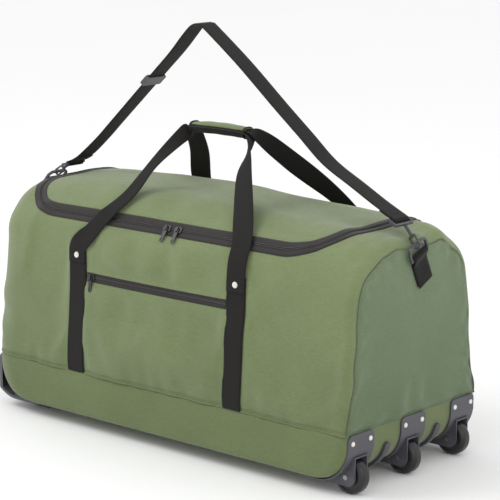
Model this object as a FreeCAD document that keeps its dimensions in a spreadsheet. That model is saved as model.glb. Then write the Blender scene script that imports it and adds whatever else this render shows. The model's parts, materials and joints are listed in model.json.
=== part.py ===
"""Rolling duffel bag on three wheels, with carry handles and a shoulder strap.

Frame: X runs along the bag with the wheels at +X, the front is at -Y, Z is up and
the floor is Z = 0. Sizes are in millimetres.
"""
import FreeCAD, Part
import math
import os

Vector = FreeCAD.Vector
X_AXIS = Vector(1, 0, 0)
Y_AXIS = Vector(0, 1, 0)
Z_AXIS = Vector(0, 0, 1)

doc = FreeCAD.newDocument("RollingDuffel")
sheet = doc.addObject("Spreadsheet::Sheet", "Sizes")

# Driving dimensions: alias, value in millimetres or degrees.
SIZES = [
    ("bag_length", 806), ("bag_depth", 350), ("crown_height", 408), ("crown_radius", 100), ("lean_in", 24),
    ("far_radius", 68), ("wheel_top_radius", 70), ("wheel_side_radius", 12),
    ("wheel_seam", 391), ("far_seam", 383),
    ("seam_height", 100), ("floor_gap", 22), ("corner_radius", 60), ("wall", 4), ("tape_thickness", 1.4),
    ("board_thickness", 4), ("board_end", 336), ("fit_gap", 0.3),
    ("lid_half_length", 335), ("lid_front", 140), ("lid_back", 95), ("lid_corner", 80), ("lid_gap", 1),
    ("tape_width", 13), ("prism_bottom", 200), ("prism_top", 460),
    ("webbing_width", 40), ("webbing_thickness", 2.6), ("strap_offset", 176), ("rivet_height", 302),
    ("rivet_radius", 6), ("rivet_rise", 2), ("rivet_dome", 1.6),
    ("pocket_half_length", 154), ("pocket_height", 268), ("pocket_tape_width", 17), ("pocket_depth", 130),
    ("lining_thickness", 1.5),
    ("wheel_spacing", 134.5), ("wheel_radius", 29), ("wheel_width", 23), ("wheel_centre", 388),
    ("tyre_depth", 8), ("axle_radius", 4), ("axle_fit", 0.05), ("axle_length", 35),
    ("bore_length", 38), ("rim_width", 20), ("boss_width", 26), ("boss_wall", 5),
    ("housing_width", 64), ("housing_thickness", 2.6), ("housing_length", 90), ("well_half_width", 14),
    ("well_wall", 2.5), ("well_length", 66), ("well_top", 61), ("cheek_bottom", 15),
    ("plate_corner", 9), ("housing_rivet_spacing", 44), ("housing_rivet_height", 87),
    ("housing_rivet_radius", 4),
    ("rib_width", 12), ("rib_thickness", 5), ("rib_top", 70), ("rib_reach", 330), ("rib_offset", 67),
    ("skid_width", 320), ("skid_thickness", 5), ("skid_top", 88), ("skid_reach", 285),
    ("foot_length", 46), ("foot_width", 34), ("foot_centre", 318), ("foot_offset", 105), ("foot_radius", 6),
    ("tab_width", 38), ("tab_thickness", 2.4), ("tab_length", 56), ("tab_lean", 26),
    ("ring_pivot_y", -1.5), ("ring_pivot_z", 358), ("ring_standoff", 7.5), ("ring_width", 48),
    ("ring_rise", 24), ("ring_bar", 4), ("ring_corner", 12), ("ring_slack", 0.8),
    ("hook_width", 3.6), ("hook_eye", 13), ("hook_hole", 8.4), ("hook_drop", 9.2), ("hook_rise", 15),
    ("hole_drop", 6.4), ("hole_rise", 11.5), ("stem_radius", 2.6), ("stem_length", 19),
    ("gate_low", 3.2), ("gate_high", 10.5), ("gate_thickness", 2.2), ("gate_width", 3), ("gate_length", 6.3),
    ("wheel_hook_tilt", 40), ("far_hook_tilt", 60), ("wheel_frame_tilt", 60), ("far_frame_tilt", 78),
    ("far_ring_angle", 40),
    ("frame_width", 48), ("frame_rise", 15), ("frame_thickness", 4), ("frame_bar", 4),
    ("strap_width", 38), ("adjuster_place", 0.58), ("leg_start", 14.6), ("through", 2),
    ("slider_length", 15), ("slider_width", 11), ("slider_thickness", 2.6), ("slider_left", 10),
    ("slider_right", 34), ("bridge_width", 3), ("bridge_length", 8), ("bridge_rise", 6.2),
    ("bridge_gap", 2.6), ("bridge_post", 1.5), ("pull_hole_drop", 4), ("pull_inset", 10),
    ("pull_length", 27), ("pull_width", 7), ("pull_thickness", 1.6), ("pull_hole_radius", 1.8),
    ("pull_lift", 3.9), ("pull_bar_top", 1.9), ("pull_bar", 1.2), ("pull_window_width", 3.8),
    ("pull_window_length", 6.2),
    ("grip_length", 122), ("grip_width", 32), ("grip_thickness", 22), ("grip_height", 515),
    ("gathered_width", 26), ("grip_slot_width", 27), ("grip_slot_height", 9),
    ("adjuster_length", 22), ("adjuster_width", 46), ("adjuster_thickness", 7),
]
size = {}
for row, (alias, value) in enumerate(SIZES, start=1):
    sheet.set("A%d" % row, alias)
    sheet.set("B%d" % row, str(value))
    sheet.setAlias("B%d" % row, alias)
    size[alias] = float(value)
doc.recompute()

half_length = size["bag_length"] / 2
half_depth = size["bag_depth"] / 2
wall_lean = math.atan(size["lean_in"] / (size["crown_height"] - size["seam_height"]))


def bind(obj, prop, text):
    """Ties one property to a formula of the sheet; a word in it is a cell's alias."""
    words = sorted(size, key=len, reverse=True)
    out = ""
    i = 0
    while i < len(text):
        word = next((w for w in words if text.startswith(w, i)), None)
        if word and not (i and (text[i - 1].isalnum() or text[i - 1] == "_")):
            out += "Sizes." + word
            i += len(word)
        else:
            out += text[i]
            i += 1
    obj.setExpression(prop, out)


def bind_place(obj, at):
    for axis, text in zip("xyz", at):
        bind(obj, "Placement.Base." + axis, text)


def new_body(name):
    body = doc.addObject("PartDesign::Body", name)
    body.Label = name
    return body


def block(body, name, lengths, low, cut=False):
    """Adds, or cuts, a box given by its three lengths and its lowest corner."""
    kind = "PartDesign::SubtractiveBox" if cut else "PartDesign::AdditiveBox"
    feature = body.newObject(kind, body.Label + "_" + name)
    for prop, text in zip(("Length", "Width", "Height"), lengths):
        bind(feature, prop, text)
    bind_place(feature, low)
    return feature


def leaning_block(body, name, low_x, length, grow, bottom):
    """Adds a block whose front and rear faces lean inwards as the bag's walls do."""
    feature = body.newObject("PartDesign::AdditiveWedge", body.Label + "_" + name)
    feature.Placement = FreeCAD.Placement(Vector(), FreeCAD.Rotation(X_AXIS, 90))
    def half_width(height):
        return "bag_depth/2+(%s)-lean_in*(%s-seam_height)/(crown_height-seam_height)" % (grow, height)

    roof = "crown_height+(" + grow + ")"
    wide = half_width(bottom)
    narrow = half_width(roof)
    high_x = "(" + low_x + ")+(" + length + ")"
    spans = [("X", low_x, high_x), ("X2", low_x, high_x), ("Y", bottom, roof),
             ("Z", "-(" + wide + ")", wide), ("Z2", "-(" + narrow + ")", narrow)]
    for word, low, high in spans:
        bind(feature, word + "max", high)
        bind(feature, word + "min", low)
    return feature


def rod(body, name, radius, length, start, axis, cut=False):
    """Adds, or cuts, a cylinder that runs from start along axis."""
    kind = "PartDesign::SubtractiveCylinder" if cut else "PartDesign::AdditiveCylinder"
    feature = body.newObject(kind, body.Label + "_" + name)
    bind(feature, "Radius", radius)
    bind(feature, "Height", length)
    feature.Placement = FreeCAD.Placement(Vector(), FreeCAD.Rotation(Z_AXIS, axis))
    bind_place(feature, start)
    return feature


def round_edges(body, name, radius, wanted):
    """Rounds the edges of the body's last feature that wanted(edge) picks."""
    doc.recompute()
    last = body.Tip
    names = ["Edge%d" % (i + 1) for i, edge in enumerate(last.Shape.Edges) if wanted(edge)]
    fillet = body.newObject("PartDesign::Fillet", body.Label + "_" + name)
    fillet.Base = (last, names)
    bind(fillet, "Radius", radius)
    return fillet


def along(axis, test=None):
    """Makes an edge test: straight, parallel to axis and accepted by test(centre)."""
    def wanted(edge):
        if edge.Curve.TypeId != "Part::GeomLine":
            return False
        if abs(abs(edge.tangentAt(edge.FirstParameter).dot(axis)) - 1) > 1e-6:
            return False
        return test is None or test(edge.CenterOfMass)
    return wanted


def combine(kind, name, base, tool):
    """Makes a Part boolean of two objects: Cut takes tool away, Common keeps the shared part."""
    obj = doc.addObject("Part::" + kind, name)
    obj.Label = name
    obj.Base = base
    obj.Tool = tool
    return obj


def fuse(name, pieces):
    obj = doc.addObject("Part::MultiFuse", name)
    obj.Label = name
    obj.Shapes = pieces
    return obj


def group(name, pieces):
    """Joins separate, identical solids in one sub-part."""
    obj = doc.addObject("Part::Compound", name)
    obj.Label = name
    obj.Links = pieces
    return obj


def webbing(name, stations, thickness):
    """Makes flat webbing through stations (x, y, z, width direction, width)."""
    wires = []
    points = [Vector(*s[:3]) for s in stations]
    for i, station in enumerate(stations):
        run = points[min(i + 1, len(points) - 1)] - points[max(i - 1, 0)]
        run.normalize()
        across = Vector(*station[3])
        across = across - run * across.dot(run)
        across.normalize()
        up = run.cross(across) * (thickness / 2)
        across = across * (station[4] / 2)
        corners = [points[i] + across + up, points[i] - across + up]
        corners += [points[i] - across - up, points[i] + across - up]
        wires.append(Part.makePolygon(corners + corners[:1]))
    solid = Part.makeLoft(wires, True, True)
    if solid.Volume < 0:
        solid.reverse()
    obj = doc.addObject("Part::Feature", name)
    obj.Label = name
    obj.Shape = solid
    return obj


def flat_band(name, route, low_y, width, thickness):
    """Makes webbing that lies flat across Y and follows a route of (x, z) points."""
    points = [Vector(x, 0, z) for x, z in route]
    above = []
    below = []
    for i, point in enumerate(points):
        came = (point - points[i - 1]).normalize() if i else None
        goes = (points[i + 1] - point).normalize() if i + 1 < len(points) else came
        came = came or goes
        run = (came + goes).normalize()
        offset = Y_AXIS.cross(run) * (thickness / 2 / run.dot(goes))
        above.append(point + offset)
        below.append(point - offset)
    outline = above + below[::-1]
    for corner in outline:
        corner.y = low_y
    face = Part.Face(Part.makePolygon(outline + outline[:1]))
    solid = face.extrude(Y_AXIS * width)
    obj = doc.addObject("Part::Feature", name)
    obj.Label = name
    obj.Shape = solid
    return obj


# Bag walls: an arched sleeve on a stiff tub, closed by two end panels.

def side_outline(name, grow):
    """Makes the bag's long outline as a prism across it, rounded above both ends."""
    body = new_body(name)
    block(body, "block", ("bag_length+2*(%s)" % grow, "2*bag_depth", "crown_height+(%s)" % grow),
          ("-bag_length/2-(%s)" % grow, "-bag_depth", "0"))
    round_edges(body, "far_end", "far_radius+(%s)" % grow,
                along(Y_AXIS, lambda c: c.z > size["crown_height"] - 20 and c.x < 0))
    round_edges(body, "wheel_end", "wheel_top_radius+(%s)" % grow,
                along(Y_AXIS, lambda c: c.z > size["crown_height"] - 20 and c.x > 0))
    return body


def plan_outline(name, grow):
    """Makes the bag's outline from above as a prism, most rounded at the far end."""
    body = new_body(name)
    block(body, "block", ("bag_length+2*(%s)" % grow, "bag_depth+2*(%s)" % grow, "2*crown_height"),
          ("-bag_length/2-(%s)" % grow, "-bag_depth/2-(%s)" % grow, "-crown_height/2"))
    round_edges(body, "far_corners", "far_radius+(%s)" % grow, along(Z_AXIS, lambda c: c.x < 0))
    round_edges(body, "wheel_corners", "wheel_side_radius+(%s)" % grow, along(Z_AXIS, lambda c: c.x > 0))
    return body


def arch(name, grow, bottom="seam_height"):
    """Makes the bag's arched, round-ended shape as a solid, grown by a distance."""
    body = new_body(name + "_arch")
    leaning_block(body, "block", "-bag_length/2-(%s)" % grow, "bag_length+2*(%s)" % grow, grow, bottom)
    round_edges(body, "crown", "crown_radius+(" + grow + ")",
                along(X_AXIS, lambda c: c.z > size["crown_height"] - 20))
    trimmed = combine("Common", name + "_trimmed", body, side_outline(name + "_side", grow))
    return combine("Common", name, trimmed, plan_outline(name + "_plan", grow))


def lid_prism(name, grow):
    """Makes the upright prism over the lid: round front corners, square at the hinge."""
    body = new_body(name)
    block(body, "block", ("2*lid_half_length+2*(" + grow + ")", "lid_front+lid_back+(" + grow + ")",
                          "prism_top-prism_bottom"),
          ("-lid_half_length-(" + grow + ")", "-lid_front-(" + grow + ")", "prism_bottom"))
    round_edges(body, "corners", "lid_corner+(" + grow + ")", along(Z_AXIS, lambda c: c.y < 0))
    return body


def end_zone(name, low, length):
    """Makes the box that cuts one end panel off the shell at its seam."""
    body = new_body(name)
    block(body, "block", (length, "2*bag_depth", "2*crown_height"), (low, "-bag_depth", "-crown_height/2"))
    return body


skin = arch("skin", "0")
shell = combine("Cut", "shell", skin, arch("hollow", "-wall", "seam_height-wall"))
wheel_zone = end_zone("wheel_zone", "wheel_seam", "bag_length")
far_zone = end_zone("far_zone", "-bag_length-far_seam", "bag_length")
wheel_end_panel = combine("Common", "wheel_end_panel", shell, wheel_zone)
far_end_panel = combine("Common", "far_end_panel", shell, far_zone)
sleeve = combine("Cut", "sleeve", combine("Cut", "sleeve_from_wheel_seam", shell, wheel_zone), far_zone)
main_panel = combine("Cut", "main_panel", sleeve, lid_prism("lid_opening", "0"))
lid_panel = combine("Common", "lid_panel", shell, lid_prism("lid_cut", "-lid_gap"))

tape_layer = combine("Cut", "tape_layer", arch("tape_skin", "tape_thickness"), skin)
bag_tape = combine("Common", "bag_tape", tape_layer, lid_prism("tape_bag_edge", "tape_width"))
main_zip_tape = combine("Cut", "main_zip_tape", bag_tape, lid_prism("tape_bag_hole", "0"))
lid_tape = combine("Common", "lid_tape", tape_layer, lid_prism("tape_lid_edge", "-lid_gap"))
lid_zip_tape = combine("Cut", "lid_zip_tape", lid_tape, lid_prism("tape_lid_hole", "-tape_width"))


def tub_solid(name, grow, top):
    """Makes the tub's outline as a solid, with the bottom end corners rounded."""
    body = new_body(name)
    block(body, "block",
          ("bag_length+2*(" + grow + ")", "bag_depth+2*(" + grow + ")",
           "(" + top + ")-floor_gap+(" + grow + ")"),
          ("-bag_length/2-(" + grow + ")", "-bag_depth/2-(" + grow + ")", "floor_gap-(" + grow + ")"))
    round_edges(body, "corners", "corner_radius+(" + grow + ")",
                along(Y_AXIS, lambda c: c.z < size["floor_gap"] + 10))
    return combine("Common", name + "_rounded", body, plan_outline(name + "_plan", grow))


def wheel_places():
    return [("front", "-wheel_spacing"), ("middle", "0"), ("rear", "wheel_spacing")]


def well_block(name, side):
    """Makes the block that one wheel well takes out of the tub."""
    body = new_body(name)
    block(body, "block", ("well_length+well_wall", "2*well_half_width+2*well_wall", "well_top+well_wall"),
          ("bag_length/2+housing_thickness-well_length-well_wall", side + "-well_half_width-well_wall", "0"))
    return body


tub_skin = combine("Cut", "tub_skin", tub_solid("tub_outer", "0", "seam_height"),
                   tub_solid("tub_inner", "-wall", "seam_height+2*wall"))
wells = fuse("well_cuts", [well_block("well_cut_" + n, y) for n, y in wheel_places()])
base_tub = combine("Cut", "base_tub", tub_skin, wells)

base_board = new_body("base_board")
block(base_board, "block", ("2*board_end", "bag_depth-2*wall-2", "board_thickness"),
      ("-board_end", "-bag_depth/2+wall+1", "floor_gap+wall"))

# Wheels, each in a moulded housing that wraps the bottom corner.


def wrap_layer(name, thickness, low, lengths):
    """Makes a layer of given thickness on the tub, kept inside one box."""
    layer = combine("Cut", name + "_layer", tub_solid(name + "_outer", thickness, "seam_height"),
                    tub_solid(name + "_inner", "0", "seam_height+wall"))
    limit = new_body(name + "_limit")
    block(limit, "block", lengths, low)
    return combine("Common", name + "_part", layer, limit), limit


housings = []
axles = []
tyres = []
hubs = []
housing_rivet_parts = []
for place, side in wheel_places():
    shell_part, limit = wrap_layer("housing_" + place, "housing_thickness",
                                   ("bag_length/2-housing_length", side + "-housing_width/2", "0"),
                                   ("housing_length+2*housing_thickness", "housing_width", "seam_height"))
    round_edges(limit, "corners", "plate_corner",
                along(X_AXIS, lambda c: c.z > size["seam_height"] - 1))
    well = new_body("well_" + place)
    block(well, "outer",
          ("well_length+well_wall", "2*well_half_width+2*well_wall", "well_top+well_wall-cheek_bottom"),
          ("bag_length/2+housing_thickness-well_length-well_wall", side + "-well_half_width-well_wall",
           "cheek_bottom"))
    front_bottom = along(Y_AXIS, lambda c: c.z < size["cheek_bottom"] + 1)
    round_edges(well, "cheeks", "cheek_bottom", front_bottom)
    joined = fuse("housing_joined_" + place, [shell_part, well])
    hollow = new_body("well_hollow_" + place)
    block(hollow, "block", ("well_length+1", "2*well_half_width", "well_top"),
          ("bag_length/2+housing_thickness-well_length", side + "-well_half_width", "0"))
    bored = combine("Cut", "housing_open_" + place, joined, hollow)
    bore = new_body("axle_bore_" + place)
    rod(bore, "rod", "axle_radius+axle_fit", "bore_length",
        ("wheel_centre", side + "-bore_length/2", "wheel_radius"),
        Y_AXIS)
    housings.append(combine("Cut", "wheel_housing_" + place, bored, bore))

    axle = new_body("wheel_axle_" + place)
    rod(axle, "rod", "axle_radius", "axle_length", ("wheel_centre", side + "-axle_length/2", "wheel_radius"),
        Y_AXIS)
    axles.append(axle)

    hub = new_body("wheel_hub_" + place)
    rod(hub, "rim", "wheel_radius-tyre_depth", "rim_width",
        ("wheel_centre", side + "-rim_width/2", "wheel_radius"), Y_AXIS)
    rod(hub, "boss", "axle_radius+boss_wall", "boss_width",
        ("wheel_centre", side + "-boss_width/2", "wheel_radius"),
        Y_AXIS)
    rod(hub, "bore", "axle_radius+axle_fit", "boss_width+through",
        ("wheel_centre", side + "-(boss_width+through)/2", "wheel_radius"),
        Y_AXIS, cut=True)
    hubs.append(hub)

    tyre = new_body("wheel_tyre_" + place)
    rod(tyre, "tread", "wheel_radius", "wheel_width",
        ("wheel_centre", side + "-wheel_width/2", "wheel_radius"), Y_AXIS)
    round_edges(tyre, "shoulders", "tyre_depth", lambda e: e.Curve.TypeId == "Part::GeomCircle")
    rod(tyre, "seat", "wheel_radius-tyre_depth", "wheel_width+through",
        ("wheel_centre", side + "-(wheel_width+through)/2", "wheel_radius"), Y_AXIS, cut=True)
    tyres.append(tyre)

    for number, sign in (("1", "-"), ("2", "+")):
        rivet = new_body("housing_rivet_" + place + number)
        rod(rivet, "head", "housing_rivet_radius", "rivet_dome+0.4",
            ("bag_length/2+housing_thickness", side + sign + "housing_rivet_spacing/2",
             "housing_rivet_height"), X_AXIS)
        round_edges(rivet, "dome", "rivet_dome",
                    lambda e: e.Curve.TypeId == "Part::GeomCircle" and e.CenterOfMass.x > half_length
                    + size["housing_thickness"] + 1)
        housing_rivet_parts.append(rivet)
housing_rivets = group("housing_rivets", housing_rivet_parts)

ribs = []
for place, side in (("front", "-rib_offset"), ("rear", "rib_offset")):
    rib, rib_limit = wrap_layer("skid_rib_" + place, "rib_thickness",
                                ("rib_reach", side + "-rib_width/2", "0"),
                                ("bag_length/2-rib_reach+2*rib_thickness", "rib_width", "rib_top"))
    round_edges(rib_limit, "top", "rib_width/2-0.1", along(X_AXIS, lambda c: c.z > size["rib_top"] - 1))
    rib.Label = "skid_rib_" + place
    ribs.append(rib)

far_skid, far_limit = wrap_layer("far_skid", "skid_thickness",
                                 ("-bag_length/2-2*skid_thickness", "-skid_width/2", "0"),
                                 ("bag_length/2+2*skid_thickness-skid_reach", "skid_width", "skid_top"))
far_skid.Label = "far_end_skid"
feet_parts = []
for place, side in (("front", "-foot_offset"), ("rear", "foot_offset")):
    foot = new_body("skid_foot_" + place)
    block(foot, "block", ("foot_length", "foot_width", "floor_gap-skid_thickness"),
          ("-foot_centre-foot_length/2", side + "-foot_width/2", "0"))
    round_edges(foot, "nose", "foot_radius", along(Y_AXIS, lambda c: c.z < 1))
    feet_parts.append(foot)
skid_feet = group("skid_feet", feet_parts)

# Webbing sewn to the front and rear walls, with a rivet above each strip. Pieces on a wall
# are laid out from its foot, with Z up the wall, and then leaned in with it.


def on_wall(side):
    """Gives the placement of a wall's own frame: side -1 is the front, 1 the rear."""
    turn = FreeCAD.Rotation(X_AXIS, side * math.degrees(wall_lean))
    return FreeCAD.Placement(Vector(0, side * half_depth, size["seam_height"]), turn)


sewn = []
rivet_parts = []
for face, wall_y, sign in (("front", "-webbing_thickness", -1), ("rear", "0", 1)):
    for hand, strap_x in (("left", "-strap_offset"), ("right", "strap_offset")):
        strip = new_body("%s_%s_webbing" % (face, hand))
        block(strip, "block", ("webbing_width", "webbing_thickness", "rivet_height+14-seam_height"),
              (strap_x + "-webbing_width/2", wall_y, "0"))
        strip.Placement = on_wall(sign)
        sewn.append(strip)
        rivet = new_body("strap_rivet_%s_%s" % (face, hand))
        rod(rivet, "head", "rivet_radius", "rivet_rise",
            (strap_x, "%d*webbing_thickness" % sign, "rivet_height-seam_height"), Y_AXIS * sign)
        round_edges(rivet, "dome", "rivet_dome", lambda e: e.Curve.TypeId == "Part::GeomCircle"
                    and abs(e.CenterOfMass.y) > size["webbing_thickness"] + 1)
        rivet.Placement = on_wall(sign)
        rivet_parts.append(rivet)
strap_rivets = group("strap_rivets", rivet_parts)

# Front pocket: its zip lies on the wall and its lining hangs inside.
pocket_zip_tape = new_body("pocket_zip_tape")
block(pocket_zip_tape, "block", ("2*pocket_half_length", "tape_thickness", "pocket_tape_width"),
      ("-pocket_half_length", "-tape_thickness", "pocket_height-seam_height-pocket_tape_width/2"))
pocket_zip_tape.Placement = on_wall(-1)
pocket_lining = new_body("pocket_lining")
block(pocket_lining, "block", ("2*pocket_half_length", "lining_thickness", "pocket_depth"),
      ("-pocket_half_length", "wall+2", "pocket_height-seam_height-pocket_depth+6"))
pocket_lining.Placement = on_wall(-1)

# Carry handles: two webbing loops that meet in a padded grip over the crown.
leg_height = size["rivet_height"] + size["leg_start"] - size["seam_height"]
strip_top = on_wall(1).multVec(Vector(0, size["webbing_thickness"] / 2, leg_height))
top = strip_top.z
out = strip_top.y
grip_z = size["grip_height"]
half_grip = size["grip_length"] / 2
side_x = size["strap_offset"]


def handle_loop(name, side, lift):
    """Makes one loop, from its left rivet over the grip to its right rivet."""
    sideways = (1, 0, 0)
    grip_across = (0, -side, 0)
    wide = size["strap_width"]
    gathered = size["gathered_width"]
    leg = [
        (-side_x, side * out, top, sideways, wide),
        (-side_x, side * (out + 1), top + 34, sideways, wide),
        (-side_x + 44, side * (out - 52), top + 104, (1, side * -0.4, 0), wide),
        (-half_grip - 20, side * 22, grip_z - 15 + lift, (0.5, side * -0.8, 0), gathered + 4),
        (-half_grip - 1, 0, grip_z + lift, grip_across, gathered),
    ]
    other = [(-x, y, z, (-w[0], w[1], w[2]), full) for x, y, z, w, full in reversed(leg)]
    return webbing(name, leg + other, size["webbing_thickness"] - 0.6)


front_handle = handle_loop("front_handle", -1, -3)
rear_handle = handle_loop("rear_handle", 1, 3)

handle_grip = new_body("handle_grip")
block(handle_grip, "pad", ("grip_length", "grip_width", "grip_thickness"),
      ("-grip_length/2", "-grip_width/2", "grip_height-grip_thickness/2"))
round_edges(handle_grip, "sides", "grip_thickness/2-2", along(X_AXIS))
block(handle_grip, "slot", ("grip_length+through", "grip_slot_width", "grip_slot_height"),
      ("-(grip_length+through)/2", "-grip_slot_width/2", "grip_height-grip_slot_height/2"), cut=True)

# Shoulder strap: a tab, a ring, a snap hook and a frame at each end. Each end has a frame of
# its own whose X stands off the wall. The far end's lies on the rounded shoulder.
far_turn = math.radians(size["far_ring_angle"])
wheel_turn = FreeCAD.Rotation(X_AXIS, size["tab_lean"])
far_place = Vector(-half_length + size["far_radius"] * (1 - math.cos(far_turn)), 0,
                   size["crown_height"] - size["far_radius"] * (1 - math.sin(far_turn)))
ring_top = size["ring_rise"] - size["ring_bar"]
wheel_place = Vector(half_length, size["ring_pivot_y"], size["ring_pivot_z"])
strap_y = wheel_place.y + wheel_turn.multVec(Vector(0, 0, ring_top)).y
far_place.y = strap_y
ENDS = [("wheel", 1, wheel_place, wheel_turn, -size["wheel_hook_tilt"], -size["wheel_frame_tilt"]),
        ("far", -1, far_place, FreeCAD.Rotation(Y_AXIS, size["far_ring_angle"]), size["far_hook_tilt"],
         size["far_frame_tilt"])]
hook_length = size["hook_rise"] + size["stem_length"] + size["fit_gap"]
tabs = []
rings = []
hooks = []
gates = []
frames = []
strap_ends = {}
for end, sign, wall_point, turn, hook_tilt, frame_tilt in ENDS:
    place = FreeCAD.Placement(wall_point, turn)
    eye = place.multVec(Vector(sign * size["ring_standoff"], 0, ring_top))
    hook_turn = FreeCAD.Rotation(Y_AXIS, hook_tilt)
    hook_place = FreeCAD.Placement(eye, hook_turn)
    frame_turn = FreeCAD.Rotation(Y_AXIS, frame_tilt)
    bend = math.radians(abs(frame_tilt - hook_tilt))
    frame_foot = hook_place.multVec(Vector(0, 0, hook_length + size["frame_thickness"] / 2 * math.sin(bend)))

    def across(low_x, thick):
        """Gives the low X of a slab that stands off the end wall, for either end."""
        return low_x if sign > 0 else "-(" + low_x + ")-(" + thick + ")"

    tab = new_body("strap_tab_" + end)
    loop_depth = "ring_standoff+ring_bar/2+ring_slack/2+tab_thickness"
    block(tab, "loop", (loop_depth, "tab_width", "2*(ring_bar+ring_slack)"),
          (across("0", loop_depth), "-tab_width/2", "-ring_bar-ring_slack"))
    slot_depth = "ring_bar+ring_slack"
    block(tab, "slot", (slot_depth, "tab_width+through", slot_depth),
          (across("ring_standoff-(ring_bar+ring_slack)/2", slot_depth), "-(tab_width+through)/2",
           "-(ring_bar+ring_slack)/2"), cut=True)
    tab.Placement = place
    if sign > 0:
        block(tab, "tail", ("tab_thickness", "tab_width", "tab_length-ring_bar/2"),
              ("0", "-tab_width/2", "-tab_length"))
        tabs.append(tab)
    else:
        tab.Label = "far_tab_loop"
        reach = size["far_radius"] + size["tab_thickness"] / 2 + 0.2
        centre = Vector(-half_length + size["far_radius"], strap_y, size["crown_height"] - size["far_radius"])
        stations = []
        for step in range(8):
            angle = far_turn - step * size["tab_length"] / 7 / size["far_radius"]
            bent = max(angle, 0)
            spot = centre + Vector(-math.cos(bent), 0, math.sin(bent)) * reach
            spot.z += min(angle, 0) * reach
            stations.append((spot.x, spot.y, spot.z, Y_AXIS, size["tab_width"]))
        tail = webbing("far_tab_tail", stations, size["tab_thickness"] - 0.1)
        tabs.append(fuse("strap_tab_far", [tab, tail]))

    ring = new_body("strap_ring_" + end)
    block(ring, "plate", ("ring_bar", "ring_width", "ring_rise"),
          (across("ring_standoff-ring_bar/2", "ring_bar"), "-ring_width/2", "-ring_bar/2"))
    round_edges(ring, "corners", "ring_corner", along(X_AXIS, lambda c: c.z > 5))
    block(ring, "hole", ("ring_bar+through", "ring_width-2*ring_bar", "ring_rise-2*ring_bar"),
          (across("ring_standoff-(ring_bar+through)/2", "ring_bar+through"), "-(ring_width-2*ring_bar)/2",
           "ring_bar/2"), cut=True)
    round_edges(ring, "inside", "ring_corner-ring_bar",
                along(X_AXIS, lambda c: c.z > ring_top - 5 and abs(c.y) < size["ring_width"] / 2))
    ring.Placement = place
    rings.append(ring)

    hook = new_body("snap_hook_" + end)
    block(hook, "eye", ("hook_eye", "hook_width", "hook_drop+hook_rise"),
          ("-hook_eye/2", "-hook_width/2", "-hook_drop"))
    round_edges(hook, "eye_round", "hook_eye/2-0.1", along(Y_AXIS, lambda c: c.z < 0))
    block(hook, "gap", ("hook_hole", "hook_width+through", "hole_drop+hole_rise"),
          ("-hook_hole/2", "-(hook_width+through)/2", "-hole_drop"), cut=True)
    block(hook, "mouth", ("hook_eye/2", "hook_width+through", "gate_high-gate_low"),
          (across("hook_hole/4", "hook_eye/2"), "-(hook_width+through)/2", "gate_low"), cut=True)
    rod(hook, "stem", "stem_radius", "stem_length", ("0", "0", "hook_rise"), Z_AXIS)
    hook.Placement = hook_place
    hooks.append(hook)

    gate = new_body("hook_gate_" + end)
    block(gate, "bar", ("gate_thickness", "gate_width", "gate_length"),
          (across("hook_hole/2+0.2", "gate_thickness"), "-gate_width/2", "gate_low+fit_gap"))
    gate.Placement = hook_place
    gates.append(gate)

    frame = new_body("strap_frame_" + end)
    block(frame, "plate", ("frame_thickness", "frame_width", "frame_rise"),
          ("-frame_thickness/2", "-frame_width/2", "0"))
    round_edges(frame, "corners", "frame_bar", along(X_AXIS))
    block(frame, "slot", ("frame_thickness+through", "frame_width-2*frame_bar", "frame_rise-2*frame_bar"),
          ("-(frame_thickness+through)/2", "-frame_width/2+frame_bar", "frame_bar"), cut=True)
    frame.Placement = FreeCAD.Placement(frame_foot, frame_turn)
    frames.append(frame)
    slot = frame.Placement.multVec(Vector(0, 0, size["frame_rise"] / 2))
    strap_ends[end] = (slot.x, slot.z)

wheel_x, wheel_z = strap_ends["wheel"]
far_x, far_z = strap_ends["far"]
# Route of the shoulder strap as (x, z), from the far end over its high point to the wheel end.
STRAP_ROUTE = [(far_x, far_z), (far_x + 1.5, far_z + 6), (far_x + 10, far_z + 13)]
STRAP_ROUTE += [(-300, 456), (-223, 515), (-88, 638), (-56, 672), (-40, 683), (-26, 688), (-10, 683)]
STRAP_ROUTE += [(136, 565), (239, 484), (330, 436)]
STRAP_ROUTE += [(wheel_x - 5, wheel_z + 7.3), (wheel_x + 0.5, wheel_z + 3.9), (wheel_x, wheel_z)]
shoulder_strap = flat_band("shoulder_strap", STRAP_ROUTE, strap_y - size["strap_width"] / 2,
                           size["strap_width"], size["webbing_thickness"] - 0.6)

slide_from, slide_to = [Vector(x, strap_y, z) for x, z in STRAP_ROUTE[4:6]]
slide_run = slide_to - slide_from
strap_adjuster = new_body("strap_adjuster")
block(strap_adjuster, "plate", ("adjuster_length", "adjuster_width", "adjuster_thickness"),
      ("-adjuster_length/2", "-adjuster_width/2", "-adjuster_thickness/2"))
round_edges(strap_adjuster, "corners", "frame_bar", along(Z_AXIS))
block(strap_adjuster, "slot", ("adjuster_length+through", "strap_width+through", "webbing_thickness+1"),
      ("-(adjuster_length+through)/2", "-(strap_width+through)/2", "-(webbing_thickness+1)/2"), cut=True)
slide_turn = FreeCAD.Rotation(X_AXIS, slide_run)
strap_adjuster.Placement = FreeCAD.Placement(slide_from + slide_run * size["adjuster_place"], slide_turn)

# Zip sliders, each with a pull that hinges on its front.


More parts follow.
